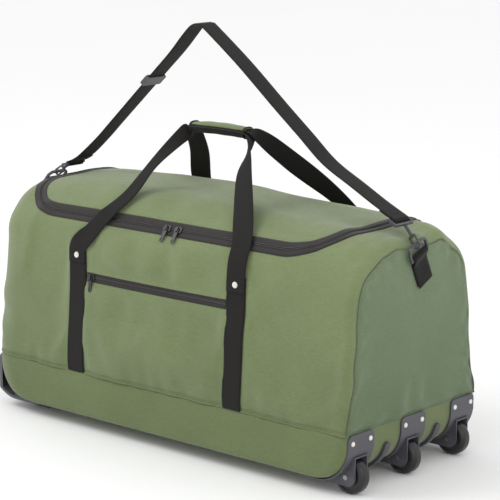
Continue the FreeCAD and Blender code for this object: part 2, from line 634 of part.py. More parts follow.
def slider_pair(name, x, y, z, tilt):
    """Makes a slider on a wall whose outward normal is tilted up, and its pull."""
    place = FreeCAD.Placement(Vector(x, y, z), FreeCAD.Rotation(X_AXIS, tilt))
    slider = new_body(name + "_slider")
    rise = "(tape_thickness+fit_gap)"
    block(slider, "plate", ("slider_length", "slider_thickness", "slider_width"),
          ("-slider_length/2", "-slider_thickness-" + rise, "-slider_width/2"))
    round_edges(slider, "corners", "slider_width/3", along(Y_AXIS))
    block(slider, "bridge", ("bridge_width", "bridge_rise", "bridge_length"),
          ("-bridge_width/2", "-bridge_rise-" + rise, "-bridge_length/2"))
    block(slider, "bridge_gap", ("2*bridge_width", "bridge_gap", "bridge_length-2*bridge_post"),
          ("-bridge_width", "-slider_thickness-bridge_gap-" + rise, "-bridge_length/2+bridge_post"), cut=True)
    slider.Placement = place
    pull = new_body(name + "_pull")
    block(pull, "plate", ("pull_width", "pull_thickness", "pull_length"),
          ("-pull_width/2", "-pull_lift-pull_thickness/2-" + rise, "pull_bar_top-pull_length"))
    round_edges(pull, "corners", "pull_width/3", along(Y_AXIS))
    block(pull, "window", ("pull_window_width", "pull_thickness+through", "pull_window_length"),
          ("-pull_window_width/2", "-pull_lift-(pull_thickness+through)/2-" + rise,
           "pull_bar_top-pull_bar-pull_window_length"),
          cut=True)
    rod(pull, "hole", "pull_hole_radius", "pull_thickness+through",
        ("0", "-pull_lift-(pull_thickness+through)/2-" + rise, "pull_bar_top-pull_length+pull_hole_drop"),
        Y_AXIS, cut=True)
    pull.Placement = place
    return [slider, pull]


crown_y = half_depth - size["lean_in"] - size["crown_radius"] * math.tan((math.pi / 2 - wall_lean) / 2)
crown_z = size["crown_height"] - size["crown_radius"]
zip_tilt = math.acos((size["lid_front"] - crown_y) / size["crown_radius"])
zip_y = -crown_y - size["crown_radius"] * math.cos(zip_tilt)
zip_z = crown_z + size["crown_radius"] * math.sin(zip_tilt)
zips = slider_pair("main_zip_left", size["slider_left"], zip_y, zip_z, -math.degrees(zip_tilt))
zips += slider_pair("main_zip_right", size["slider_right"], zip_y, zip_z, -math.degrees(zip_tilt))
pocket_rise = size["pocket_height"] - size["seam_height"]
pocket_spot = Vector(size["pull_inset"] - size["pocket_half_length"], 0, pocket_rise)
pocket_point = on_wall(-1).multVec(pocket_spot)
zips += slider_pair("pocket_zip", pocket_point.x, pocket_point.y, pocket_point.z, -math.degrees(wall_lean))

doc.recompute()

SUB_PARTS = [main_panel, wheel_end_panel, far_end_panel, base_tub, base_board, lid_panel, main_zip_tape,
             lid_zip_tape, pocket_zip_tape, pocket_lining, strap_rivets, housing_rivets, far_skid, skid_feet,
             front_handle, rear_handle, handle_grip, shoulder_strap, strap_adjuster]
SUB_PARTS += housings + axles + hubs + tyres + ribs + sewn + tabs + rings + hooks + gates + frames + zips

for obj in doc.Objects:
    if "Invalid" in obj.State or "Error" in obj.State:
        raise RuntimeError("%s did not recompute: %s" % (obj.Label, obj.State))
for obj in SUB_PARTS:
    if obj.Shape.isNull() or not obj.Shape.isValid() or not obj.Shape.Solids:
        raise RuntimeError("%s has no valid solid" % obj.Label)

os.makedirs("parts", exist_ok=True)
for obj in SUB_PARTS:
    obj.Shape.exportStep(os.path.join("parts", obj.Label + ".step"))
    box = obj.Shape.BoundBox
    print("%-22s solids %d  X %.1f %.1f  Y %.1f %.1f  Z %.1f %.1f" % (
        obj.Label, len(obj.Shape.Solids), box.XMin, box.XMax, box.YMin, box.YMax, box.ZMin, box.ZMax))
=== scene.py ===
"""Rolling duffel bag: soft shell, webbing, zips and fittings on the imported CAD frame.

Everything is in metres in the frame's own axes: X along the bag with the wheels at +X,
the front at -Y, Z up. Surface pieces are laid out in (x, s), where s is the distance
over the arched cross-section, 0 at the crown and negative towards the front.
"""
import json
import math
import bmesh
import bpy
import numpy as np
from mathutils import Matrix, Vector


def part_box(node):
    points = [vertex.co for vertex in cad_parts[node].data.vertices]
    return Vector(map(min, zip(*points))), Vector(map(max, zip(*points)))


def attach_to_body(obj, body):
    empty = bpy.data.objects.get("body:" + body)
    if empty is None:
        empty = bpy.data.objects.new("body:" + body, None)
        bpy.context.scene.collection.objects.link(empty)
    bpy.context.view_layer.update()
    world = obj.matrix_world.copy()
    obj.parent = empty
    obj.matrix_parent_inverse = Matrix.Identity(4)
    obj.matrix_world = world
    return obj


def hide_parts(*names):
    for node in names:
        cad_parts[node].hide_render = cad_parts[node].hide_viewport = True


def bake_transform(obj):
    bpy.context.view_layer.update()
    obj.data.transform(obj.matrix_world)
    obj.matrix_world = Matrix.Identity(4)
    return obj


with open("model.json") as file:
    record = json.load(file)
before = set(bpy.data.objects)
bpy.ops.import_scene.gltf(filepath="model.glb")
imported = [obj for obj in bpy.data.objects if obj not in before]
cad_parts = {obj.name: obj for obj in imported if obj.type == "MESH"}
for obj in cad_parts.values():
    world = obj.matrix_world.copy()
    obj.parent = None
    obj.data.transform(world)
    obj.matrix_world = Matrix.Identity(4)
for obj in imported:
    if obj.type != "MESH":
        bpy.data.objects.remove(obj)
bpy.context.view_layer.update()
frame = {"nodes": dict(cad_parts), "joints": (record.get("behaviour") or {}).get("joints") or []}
MM = 0.001

# ---------------------------------------------------------------- sizes from the frame
panel_low, panel_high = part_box("main_panel")
tub_low, tub_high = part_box("base_tub")
lid_low, lid_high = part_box("lid_panel")
grip_low, grip_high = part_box("handle_grip")
webbing_low, webbing_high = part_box("front_right_webbing")
pocket_low, pocket_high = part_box("pocket_zip_tape")
HALF_LENGTH = tub_high.x
HALF_DEPTH = panel_high.y
SEAM_Z = panel_low.z
CROWN_Z = panel_high.z
CROWN_RADIUS = 100 * MM
LEAN_IN = 24 * MM
LEAN = math.atan(LEAN_IN / (CROWN_Z - SEAM_Z))
ARC_ANGLE = math.pi / 2 - LEAN
FLAT_TOP = HALF_DEPTH - LEAN_IN - CROWN_RADIUS * math.tan(ARC_ANGLE / 2)
ARC_LENGTH = CROWN_RADIUS * ARC_ANGLE
WALL_TOP_Z = CROWN_Z - CROWN_RADIUS + CROWN_RADIUS * math.sin(LEAN)
SIDE_LENGTH = (WALL_TOP_Z - SEAM_Z) / math.cos(LEAN)
S_EDGE = FLAT_TOP + ARC_LENGTH + SIDE_LENGTH
WEBBING_WIDTH = webbing_high.x - webbing_low.x
STRAP_X = (webbing_high.x + webbing_low.x) / 2


# ---------------------------------------------------------------- materials
def node_material(name, roughness, specular=0.5, sheen=0.0):
    """Makes an empty principled material and returns it with its node tree."""
    mat = bpy.data.materials.new(name)
    mat.use_nodes = True
    tree = mat.node_tree
    shader = tree.nodes["Principled BSDF"]
    shader.inputs["Roughness"].default_value = roughness
    shader.inputs["Specular IOR Level"].default_value = specular
    shader.inputs["Sheen Weight"].default_value = sheen
    shader.inputs["Sheen Roughness"].default_value = 0.5
    return mat, tree, shader


def srgb(r, g, b):
    """Turns display colours of 0 to 255 into the linear values that shaders use."""
    return tuple(((c / 255 + 0.055) / 1.055) ** 2.4 for c in (r, g, b)) + (1.0,)


def math_node(tree, operation, a, b=None):
    node = tree.nodes.new("ShaderNodeMath")
    node.operation = operation
    for socket, value in zip(node.inputs, (a, b)):
        if value is None:
            continue
        if hasattr(value, "is_output"):
            tree.links.new(value, socket)
        else:
            socket.default_value = value
    return node.outputs[0]


def noise_node(tree, vector, scale, detail=3.0, roughness=0.5):
    node = tree.nodes.new("ShaderNodeTexNoise")
    node.inputs["Scale"].default_value = scale
    node.inputs["Detail"].default_value = detail
    node.inputs["Roughness"].default_value = roughness
    tree.links.new(vector, node.inputs["Vector"])
    return node.outputs["Fac"]


def mix_colour(tree, factor, a, b):
    node = tree.nodes.new("ShaderNodeMix")
    node.data_type = "RGBA"
    tree.links.new(factor, node.inputs["Factor"])
    for socket, value in ((node.inputs["A"], a), (node.inputs["B"], b)):
        if hasattr(value, "is_output"):
            tree.links.new(value, socket)
        else:
            socket.default_value = value
    return node.outputs["Result"]


def ramp(tree, value, low, high):
    node = tree.nodes.new("ShaderNodeMapRange")
    tree.links.new(value, node.inputs["Value"])
    node.inputs["From Min"].default_value = low
    node.inputs["From Max"].default_value = high
    return node.outputs["Result"]


def add_bump(tree, shader, height, strength, distance, before=None):
    node = tree.nodes.new("ShaderNodeBump")
    node.inputs["Strength"].default_value = strength
    node.inputs["Distance"].default_value = distance
    tree.links.new(height, node.inputs["Height"])
    if before is not None:
        tree.links.new(before, node.inputs["Normal"])
    tree.links.new(node.outputs["Normal"], shader.inputs["Normal"])
    return node.outputs["Normal"]


def uv_metres(tree):
    """Gives the cloth's own coordinates, in metres along warp and weft."""
    node = tree.nodes.new("ShaderNodeUVMap")
    node.uv_map = "Cloth"
    return node.outputs["UV"]


def object_place(tree):
    return tree.nodes.new("ShaderNodeTexCoord").outputs["Object"]


def thread_wave(tree, coordinate, pitch):
    """Makes a rounded thread profile from 0 to 1 that repeats every pitch metres."""
    turned = math_node(tree, "MULTIPLY", coordinate, math.pi / pitch)
    return math_node(tree, "ABSOLUTE", math_node(tree, "SINE", turned))


def woven_material(name, colour, shade, pitch, roughness, sheen, slub=0.35, bump=0.35, patch=0.25, painted_low_shade=0.0):
    """Makes a plain weave, its pitch in millimetres: threads, slubs, soft blotches of colour, and, if asked,
    painted shade that darkens it towards the bottom.
    """
    mat, tree, shader = node_material(name, roughness, 0.25, sheen)
    colour, shade, pitch = srgb(*colour), srgb(*shade), pitch * MM
    uv = uv_metres(tree)
    split = tree.nodes.new("ShaderNodeSeparateXYZ")
    tree.links.new(uv, split.inputs[0])
    warp = thread_wave(tree, split.outputs["X"], pitch)
    weft = thread_wave(tree, split.outputs["Y"], pitch)
    cell_x = math_node(tree, "FLOOR", math_node(tree, "DIVIDE", split.outputs["X"], pitch))
    cell_y = math_node(tree, "FLOOR", math_node(tree, "DIVIDE", split.outputs["Y"], pitch))
    over = math_node(tree, "PINGPONG", math_node(tree, "ADD", cell_x, cell_y), 1.0)
    warp_up = math_node(tree, "MULTIPLY", warp, over)
    weft_up = math_node(tree, "MULTIPLY", weft, math_node(tree, "SUBTRACT", 1.0, over))
    height = math_node(tree, "ADD", warp_up, weft_up)
    place = object_place(tree)
    stretch = tree.nodes.new("ShaderNodeMapping")
    stretch.inputs["Scale"].default_value = (1.0, 1.0, 14.0)
    tree.links.new(place, stretch.inputs["Vector"])
    slubs = noise_node(tree, stretch.outputs["Vector"], 110.0, 2.0)
    blotch = noise_node(tree, place, 9.0, 4.0, 0.6)
    fine = noise_node(tree, place, 900.0, 2.0)
    tone = math_node(tree, "ADD", math_node(tree, "MULTIPLY", height, 0.45),
                     math_node(tree, "MULTIPLY", slubs, slub))
    tone = math_node(tree, "ADD", tone, math_node(tree, "MULTIPLY", blotch, patch))
    tone = math_node(tree, "ADD", tone, math_node(tree, "MULTIPLY", fine, 0.2))
    # Painted shade: the cloth's colour is darkened towards the bottom seam, where less light falls.
    if painted_low_shade:
        parts = tree.nodes.new("ShaderNodeSeparateXYZ")
        tree.links.new(place, parts.inputs[0])
        low = math_node(tree, "SUBTRACT", 1.0, ramp(tree, parts.outputs["Z"], SEAM_Z, SEAM_Z + 0.24))
        tone = math_node(tree, "SUBTRACT", tone, math_node(tree, "MULTIPLY", low, painted_low_shade))
    tree.links.new(mix_colour(tree, ramp(tree, tone, 0.35, 1.0), shade, colour), shader.inputs["Base Color"])
    first = add_bump(tree, shader, blotch, 0.25, 4 * MM)
    add_bump(tree, shader, height, bump, 0.25 * MM, first)
    return mat


def moulded_material(name, colour, roughness, grain=0.25, wear=0.15):
    """Makes moulded plastic: fine spark texture, soft sheen and rubbed edges."""
    mat, tree, shader = node_material(name, roughness, 0.5)
    colour = srgb(*colour)
    place = object_place(tree)
    spark = noise_node(tree, place, 1400.0, 3.0)
    cloud = noise_node(tree, place, 28.0, 4.0, 0.6)
    geometry = tree.nodes.new("ShaderNodeNewGeometry")
    edge = ramp(tree, geometry.outputs["Pointiness"], 0.5, 0.62)
    light = tuple(min(1.0, c * 1.9 + 0.02) for c in colour[:3]) + (1.0,)
    dark = tuple(c * 0.72 for c in colour[:3]) + (1.0,)
    base = mix_colour(tree, ramp(tree, cloud, 0.3, 0.75), dark, colour)
    worn = math_node(tree, "MULTIPLY", edge, wear)
    tree.links.new(mix_colour(tree, worn, base, light), shader.inputs["Base Color"])
    rough = math_node(tree, "ADD", math_node(tree, "MULTIPLY", cloud, 0.16), roughness - 0.08)
    tree.links.new(rough, shader.inputs["Roughness"])
    add_bump(tree, shader, spark, grain, 0.12 * MM)
    return mat


def metal_material(name, colour, roughness, metallic=1.0):
    mat, tree, shader = node_material(name, roughness)
    shader.inputs["Metallic"].default_value = metallic
    colour = srgb(*colour)
    place = object_place(tree)
    scratches = noise_node(tree, place, 700.0, 4.0, 0.7)
    cloud = noise_node(tree, place, 60.0, 3.0)
    dark = tuple(c * 0.7 for c in colour[:3]) + (1.0,)
    tree.links.new(mix_colour(tree, ramp(tree, cloud, 0.3, 0.7), dark, colour), shader.inputs["Base Color"])
    add_bump(tree, shader, scratches, 0.12, 0.08 * MM)
    return mat


GREEN = woven_material("olive_nylon", (134, 148, 104), (80, 93, 58), 0.9, 0.78, 0.25, painted_low_shade=0.16)
# Painted shade: a darker copy of the olive nylon for the base and its underside, standing in for the shade
# low on the bag.
SHADED_BASE_GREEN = woven_material("olive_nylon_base_painted_shade", (117, 130, 87), (68, 79, 47), 0.9, 0.8, 0.2)
# Painted shade and cool light: a darker, bluer copy of the olive nylon for the wheel end, which faces away
# from the key light.
SHADED_END_GREEN = woven_material("olive_nylon_end_painted_shade", (122, 139, 106), (70, 86, 60), 0.9, 0.8, 0.2, painted_low_shade=0.14)
WEBBING = woven_material("charcoal_webbing", (28, 25, 23), (7, 6, 6), 2.2, 0.75, 0.04, bump=0.6)
ZIP_TAPE = woven_material("zip_tape_cloth", (58, 54, 52), (22, 21, 20), 1.1, 0.75, 0.15)
BINDING = woven_material("black_binding", (30, 28, 28), (9, 9, 9), 1.2, 0.7, 0.05)
LINING = woven_material("lining_cloth", (84, 86, 80), (52, 54, 50), 0.8, 0.8, 0.2)
THREAD = woven_material("sewing_thread", (96, 104, 72), (58, 66, 40), 0.5, 0.7, 0.1)
DARK_THREAD = woven_material("dark_thread", (30, 28, 27), (12, 12, 12), 0.5, 0.7, 0.1)
HOUSING = moulded_material("housing_plastic", (74, 73, 80), 0.5)
BUCKLE = moulded_material("buckle_plastic", (66, 65, 70), 0.42, 0.15)
HUB = moulded_material("hub_plastic", (40, 40, 43), 0.45)
TYRE = moulded_material("tyre_rubber", (26, 26, 28), 0.34, 0.1, 0.05)
COIL = moulded_material("zip_coil", (50, 48, 48), 0.45, 0.1)
BOARD = moulded_material("base_board_plastic", (44, 44, 46), 0.6)
SLIDER = metal_material("slider_metal", (70, 68, 72), 0.38, 0.6)
AXLE = metal_material("axle_steel", (165, 165, 168), 0.3)
RIVET = metal_material("rivet_paint", (236, 234, 226), 0.4, 0.1)


# ---------------------------------------------------------------- mesh helpers
def new_object(name, points, faces, uvs=None, material=None, smooth=True):
    """Makes a mesh object; uvs holds one metric cloth coordinate per point."""
    mesh = bpy.data.meshes.new(name)
    mesh.from_pydata([tuple(p) for p in points], [], [tuple(f) for f in faces])
    if uvs is not None:
        layer = mesh.uv_layers.new(name="Cloth")
        corner_points = np.empty(len(mesh.loops), dtype=np.int64)
        mesh.loops.foreach_get("vertex_index", corner_points)
        layer.data.foreach_set("uv", np.asarray(uvs, dtype=np.float64)[corner_points].ravel())
    if material is not None:
        mesh.materials.append(material)
    mesh.polygons.foreach_set("use_smooth", [smooth] * len(mesh.polygons))
    mesh.update()
    obj = bpy.data.objects.new(name, mesh)
    bpy.context.scene.collection.objects.link(obj)
    return obj


def grid_faces(rows, columns, keep=None, wrap=False):
    """Lists the quads of a grid of points, keeping those that keep(row, column) accepts."""
    faces = []
    last = columns if wrap else columns - 1
    for i in range(rows - 1):
        for j in range(last):
            if keep is None or keep(i, j):
                k = (j + 1) % columns
                faces.append((i * columns + j, i * columns + k, (i + 1) * columns + k, (i + 1) * columns + j))
    return faces


def apply_modifiers(obj):
    graph = bpy.context.evaluated_depsgraph_get()
    mesh = bpy.data.meshes.new_from_object(obj.evaluated_get(graph))
    obj.modifiers.clear()
    obj.data = mesh
    return obj


def face_out(obj, centre):
    """Turns all faces of a sheet over if they look towards centre."""
    places = np.empty(len(obj.data.polygons) * 3)
    normals = np.empty(len(obj.data.polygons) * 3)
    obj.data.polygons.foreach_get("center", places)
    obj.data.polygons.foreach_get("normal", normals)
    if np.sum((places.reshape(-1, 3) - np.array(centre)) * normals.reshape(-1, 3)) < 0:
        obj.data.flip_normals()


BAG_MIDDLE = (0.0, 0.0, (SEAM_Z + CROWN_Z) / 2)


def thicken(obj, depth, offset=-1.0, levels=0, centre=BAG_MIDDLE):
    """Gives a sheet a real thickness inwards, and may round it with subdivisions."""
    face_out(obj, centre)
    solid = obj.modifiers.new("Thickness", "SOLIDIFY")
    solid.thickness = depth
    solid.offset = offset
    if levels:
        rounding = obj.modifiers.new("Round", "SUBSURF")
        rounding.levels = levels
        rounding.render_levels = levels
    return apply_modifiers(obj)


def drop_loose(obj):
    mesh = bmesh.new()
    mesh.from_mesh(obj.data)
    bmesh.ops.delete(mesh, geom=[v for v in mesh.verts if not v.link_faces], context="VERTS")
    mesh.to_mesh(obj.data)
    mesh.free()


def smooth_step(low, high, value):
    t = np.clip((value - low) / (high - low), 0.0, 1.0)
    return t * t * (3 - 2 * t)


def bell(value, centre, width):
    return np.exp(-((value - centre) / width) ** 2)


def run_lengths(line):
    """Gives how far along a line each of its points lies."""
    return np.concatenate([[0], np.cumsum(np.linalg.norm(np.diff(line, axis=0), axis=-1))])


def even_normals(obj):
    """Turns a closed mesh's faces outwards."""
    mesh = bmesh.new()
    mesh.from_mesh(obj.data)
    bmesh.ops.recalc_face_normals(mesh, faces=mesh.faces)
    mesh.to_mesh(obj.data)
    mesh.free()


def attach(obj, body, node=None):
    """Rides a piece on its body, and hides the CAD node that it stands for."""
    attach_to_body(obj, body)
    if node:
        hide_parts(node)


def settle(obj, frames, gravity, **settings):
    """Runs obj as cloth held by its own point group, and returns where its points come to rest."""
    cloth = obj.modifiers.new("Cloth", "CLOTH")
    for setting, value in settings.items():
        setattr(cloth.settings, setting, value)
    cloth.settings.vertex_group_mass = "held"
    cloth.settings.use_pressure = True
    cloth.settings.effector_weights.gravity = gravity
    cloth.point_cache.frame_start = 1
    cloth.point_cache.frame_end = frames
    for number in range(1, frames + 1):
        bpy.context.scene.frame_set(number)
    settled = bpy.data.meshes.new_from_object(obj.evaluated_get(bpy.context.evaluated_depsgraph_get()))
    places = np.empty(len(settled.vertices) * 3)
    settled.vertices.foreach_get("co", places)
    bpy.context.scene.frame_set(1)
    obj.modifiers.clear()
    return places


def cap_length(moved, cap):
    """Shortens any move that is longer than cap."""
    return moved * np.minimum(1.0, cap / np.maximum(np.linalg.norm(moved, axis=-1, keepdims=True), 1e-9))


# ---------------------------------------------------------------- the bag's own surface
def section(s):
    """Gives y, z and the outward normal of the plain arch at distance s over it."""
    s = np.asarray(s, dtype=float)
    a = np.abs(s)
    angle = np.clip((a - FLAT_TOP) / CROWN_RADIUS, 0, ARC_ANGLE)
    down = np.clip(a - FLAT_TOP - ARC_LENGTH, 0, None)
    y = np.sign(s) * (np.minimum(a, FLAT_TOP) + CROWN_RADIUS * np.sin(angle) + down * math.sin(LEAN))
    z = CROWN_Z - CROWN_RADIUS + CROWN_RADIUS * np.cos(angle) - down * math.cos(LEAN)
    return y, z, np.sign(s) * np.sin(angle), np.cos(angle)


def wall_s(z):
    """Gives how far over the arch, from its middle, the wall reaches height z."""
    return FLAT_TOP + ARC_LENGTH + (WALL_TOP_Z - z) / math.cos(LEAN)


# How far the crown stands above or sags below the plain arch, at fractions of half the length.
CROWN_STATIONS = [-1.0, -0.93, -0.82, -0.66, -0.4, -0.15, 0.08, 0.28, 0.45, 0.62, 0.8, 0.92, 1.0]
CROWN_LIFT = [-6, 0, 5, 9, 12, 12, 10, 5, 0, -3, -4, -12, -21]
END_SOFTNESS = 16 * MM
ZIP_S = -(FLAT_TOP + CROWN_RADIUS * math.asin((-lid_low.y - FLAT_TOP) / CROWN_RADIUS)) - 1 * MM
ZIP_END = (lid_high.x - lid_low.x) / 2
POCKET_S = -wall_s((pocket_low.z + pocket_high.z) / 2)
FAR_RADIUS = 68 * MM
FAR_TURN = math.radians(82)


def wrinkles(x, s):
    """Adds soft sags and puckers: broad hollows, folds under the zip and ripples at the seams."""
    height = (s + S_EDGE) / (2 * S_EDGE)
    value = 2.6 * np.sin(x * 11.0 + 1.1 + 2.2 * np.sin(s * 9.0))
    value *= np.sin(s * 13.0 + 0.7 + 1.7 * np.sin(x * 7.0))
    value += 1.3 * np.sin(x * 29.0 + 5.0 * np.sin(s * 14.0 + x * 3.0)) * np.sin(s * 21.0 + 1.9)
    seam = bell(np.abs(s), S_EDGE, 0.035)
    value += seam * 1.5 * np.sin(x * 95.0 + 4.0 * np.sin(x * 23.0))
    ends = bell(np.abs(x), HALF_LENGTH, 0.045)
    value += ends * 2.0 * np.sin(s * 62.0 + 3.0 * np.sin(s * 17.0))
    pocket = bell(s, -0.31, 0.02) * smooth_step(0.175, 0.13, np.abs(x))
    value -= pocket * 3.5
    value += bell(s, -0.345, 0.03) * smooth_step(0.2, 0.12, np.abs(x)) * 1.5
    by_zip = np.sin(x * 44.0 + 9.0 * s + 3.0 * np.sin(x * 9.0))
    value += bell(s, -0.10, 0.035) * 1.5 * by_zip * bell(x, 0.0, 0.26)
    on_wall = np.sin(x * 57.0 - 12.0 * s + 2.5 * np.sin(x * 13.0))
    value += bell(s, -0.205, 0.028) * 1.1 * on_wall * bell(x, 0.03, 0.2)
    drape = smooth_step(0.03, 0.2, height) * smooth_step(0.97, 0.8, height)
    return value * (0.35 + 0.65 * drape) * MM


def tacked(x, s):
    """Gives 1 on the two zips' lines, which stay straight for their sliders, and 0 away from them."""
    main = bell(s, ZIP_S, 0.022) * smooth_step(ZIP_END, ZIP_END - 0.09, np.abs(x))
    pocket = bell(s, POCKET_S, 0.013) * smooth_step(pocket_high.x + 0.02, pocket_high.x, np.abs(x))
    return np.clip(main + pocket, 0, 1)


def plain_surface(x, s):
    """Gives the bag's outer surface and its normal before the cloth is relaxed."""
    x = np.asarray(x, dtype=float)
    s = np.asarray(s, dtype=float)
    y, z, ny, nz = section(s)
    along = x / HALF_LENGTH
    lift = np.interp(along, CROWN_STATIONS, CROWN_LIFT) * MM
    upper = smooth_step(0.26, 0.02, np.abs(s))
    lower = smooth_step(S_EDGE, S_EDGE - 0.13, np.abs(s))
    bulge = 3.5 * MM * lower * (1 - upper) * np.sqrt(np.clip(1 - along ** 2, 0, 1))
    pinch = -2.5 * MM * bell(np.abs(s), S_EDGE, 0.012)
    over = np.clip(np.abs(x) - (HALF_LENGTH - END_SOFTNESS), 0, END_SOFTNESS)
    inset = END_SOFTNESS - np.sqrt(np.clip(END_SOFTNESS ** 2 - over ** 2, 0, None))
    inset = inset * (0.25 + 0.75 * smooth_step(S_EDGE, S_EDGE - 0.08, np.abs(s)))
    inset = np.where(x > 0, inset, 0.0)
    turn = np.clip((-x - (HALF_LENGTH - FAR_RADIUS)) / FAR_RADIUS, 0, 1) * FAR_TURN
    inset = inset + FAR_RADIUS * (1 - np.cos(turn))
    place_x = np.where(turn > 0, -(HALF_LENGTH - FAR_RADIUS) - FAR_RADIUS * np.sin(turn), x)
    corner = 11 * MM * bell(np.abs(s), 0.13, 0.05) * smooth_step(0.9, 1.0, along)
    loose = 1 - tacked(x, s)
    packed = smooth_step(-0.40, -0.365, s) * smooth_step(-0.235, -0.255, s)
    packed = packed * smooth_step(0.172, 0.15, np.abs(x))
    bulge = bulge + 3.5 * MM * packed
    proud = (lift * upper + bulge + wrinkles(x, s)) * loose + pinch - inset - corner
    return np.stack([place_x, y + ny * proud, z + nz * proud], axis=-1), ny, nz


SIM_X = np.linspace(-HALF_LENGTH, HALF_LENGTH, 109)
SIM_S = np.linspace(-S_EDGE, S_EDGE, 115)
relaxed = np.zeros((len(SIM_X), len(SIM_S), 3))


def relax_shell():
    """Runs the arched sleeve as cloth held at its seams, and returns how far each point moved."""
    xs, ss = np.meshgrid(SIM_X, SIM_S, indexing="ij")
    start, _, _ = plain_surface(xs, ss)
    sheet = new_object("relax_sheet", start.reshape(-1, 3), grid_faces(len(SIM_X), len(SIM_S)))
    held = sheet.vertex_groups.new(name="held")
    edge = (np.abs(xs) > HALF_LENGTH - 1e-6) | (np.abs(ss) > S_EDGE - 1e-6)
    strap = (np.abs(np.abs(xs) - STRAP_X) < 0.6 * WEBBING_WIDTH) & (np.abs(ss) > 0.235)
    for index in np.flatnonzero(edge.ravel()):
        held.add([int(index)], 1.0, "REPLACE")
    for index in np.flatnonzero((strap & ~edge).ravel()):
        held.add([int(index)], 0.6, "REPLACE")
    zips = tacked(xs, ss)
    for index in np.flatnonzero((zips > 0.3) & ~edge & ~strap):
        held.add([int(index)], float(zips.ravel()[index]), "REPLACE")
    places = settle(sheet, SIM_FRAMES, 0.35, quality=6, mass=0.25, tension_stiffness=25,
                    compression_stiffness=25, shear_stiffness=8, bending_stiffness=0.6,
                    uniform_pressure_force=0.35, shrink_min=-0.03)
    bpy.data.objects.remove(sheet)
    capped = cap_length(places.reshape(start.shape) - start, SIM_CAP)
    capped = np.nan_to_num(capped)
    for _ in range(4):
        padded = np.pad(capped, ((1, 1), (1, 1), (0, 0)), mode="edge")
        beside = padded[:-2, 1:-1] + padded[2:, 1:-1] + padded[1:-1, :-2] + padded[1:-1, 2:]
        capped = (capped + 0.5 * beside) / 3
    sewn = smooth_step(0.9, 0.55, np.abs(np.abs(xs) - STRAP_X) / WEBBING_WIDTH)
    sewn = sewn * smooth_step(0.19, 0.225, np.abs(ss))
    return capped * (1 - np.maximum(tacked(xs, ss), 0.9 * sewn))[..., None]


SIM_FRAMES = 22
SIM_CAP = 7 * MM
relaxed = relax_shell()


def sample_relaxed(x, s):
    """Reads the relaxed cloth's movement between the points of its grid."""
    fx = np.clip((x - SIM_X[0]) / (SIM_X[1] - SIM_X[0]), 0, len(SIM_X) - 1.001)
    fs = np.clip((s - SIM_S[0]) / (SIM_S[1] - SIM_S[0]), 0, len(SIM_S) - 1.001)
    i, j = fx.astype(int), fs.astype(int)
    a, b = (fx - i)[..., None], (fs - j)[..., None]
    near = relaxed[i, j] * (1 - b) + relaxed[i, j + 1] * b
    far = relaxed[i + 1, j] * (1 - b) + relaxed[i + 1, j + 1] * b
    return near * (1 - a) + far * a


def cloth_place(x, s):
    return plain_surface(x, s)[0] + sample_relaxed(x, s)


def surface(x, s, proud=0.0):
    """Gives points on the finished shell, raised by proud metres along its normal."""
    x, s = np.broadcast_arrays(np.asarray(x, dtype=float), np.asarray(s, dtype=float))
    step = 2 * MM
    normal = np.cross(cloth_place(x + step, s) - cloth_place(x - step, s),
                      cloth_place(x, s + step) - cloth_place(x, s - step))
    normal /= np.linalg.norm(normal, axis=-1, keepdims=True)
    return cloth_place(x, s) + normal * np.asarray(proud)[..., None], normal


# ---------------------------------------------------------------- main panel and flap
LID_HALF = ZIP_END + 1 * MM
LID_FRONT = ZIP_S
LID_BACK = FLAT_TOP + CROWN_RADIUS * math.asin((lid_high.y - FLAT_TOP) / CROWN_RADIUS)
LID_CORNER = 85 * MM


def lid_distance(x, s):
    """Gives the signed distance to the zip's line: negative on the flap, positive outside."""
    qx = np.abs(x) - (LID_HALF - LID_CORNER)
    qs = (LID_FRONT + LID_CORNER) - s
    round_part = np.hypot(np.maximum(qx, 0), np.maximum(qs, 0)) - LID_CORNER
    return np.where((qx > 0) & (qs > 0), round_part, np.maximum(qx, qs) - LID_CORNER)


def zip_line(count):
    """Lists (x, s) and the outward direction along the zip, hinge end to hinge end."""
    side = LID_BACK - LID_FRONT - LID_CORNER
    front = 2 * (LID_HALF - LID_CORNER)
    turn = LID_CORNER * math.pi / 2
    total = 2 * side + front + 2 * turn
    path = []
    for d in np.linspace(0, total, count):
        mirror = 1.0
        if d > total / 2:
            d, mirror = total - d, -1.0
        if d <= side:
            x, s, nx, ns = -LID_HALF, LID_BACK - d, -1.0, 0.0
        elif d <= side + turn:
            angle = (d - side) / LID_CORNER
            x = -(LID_HALF - LID_CORNER) - LID_CORNER * math.cos(angle)
            s = LID_FRONT + LID_CORNER - LID_CORNER * math.sin(angle)
            nx, ns = -math.cos(angle), -math.sin(angle)
        else:
            x, s, nx, ns = -(LID_HALF - LID_CORNER) + d - side - turn, LID_FRONT, 0.0, -1.0
        path.append((x * mirror, s, nx * mirror, ns))
    return np.array(path)


def corners_of(cells):
    """Marks every grid point that is a corner of a marked cell."""
    rows, columns = cells.shape
    marked = np.zeros((rows + 1, columns + 1), dtype=bool)
    for i in (0, 1):
        for j in (0, 1):
            marked[i:i + rows, j:j + columns] |= cells
    return marked


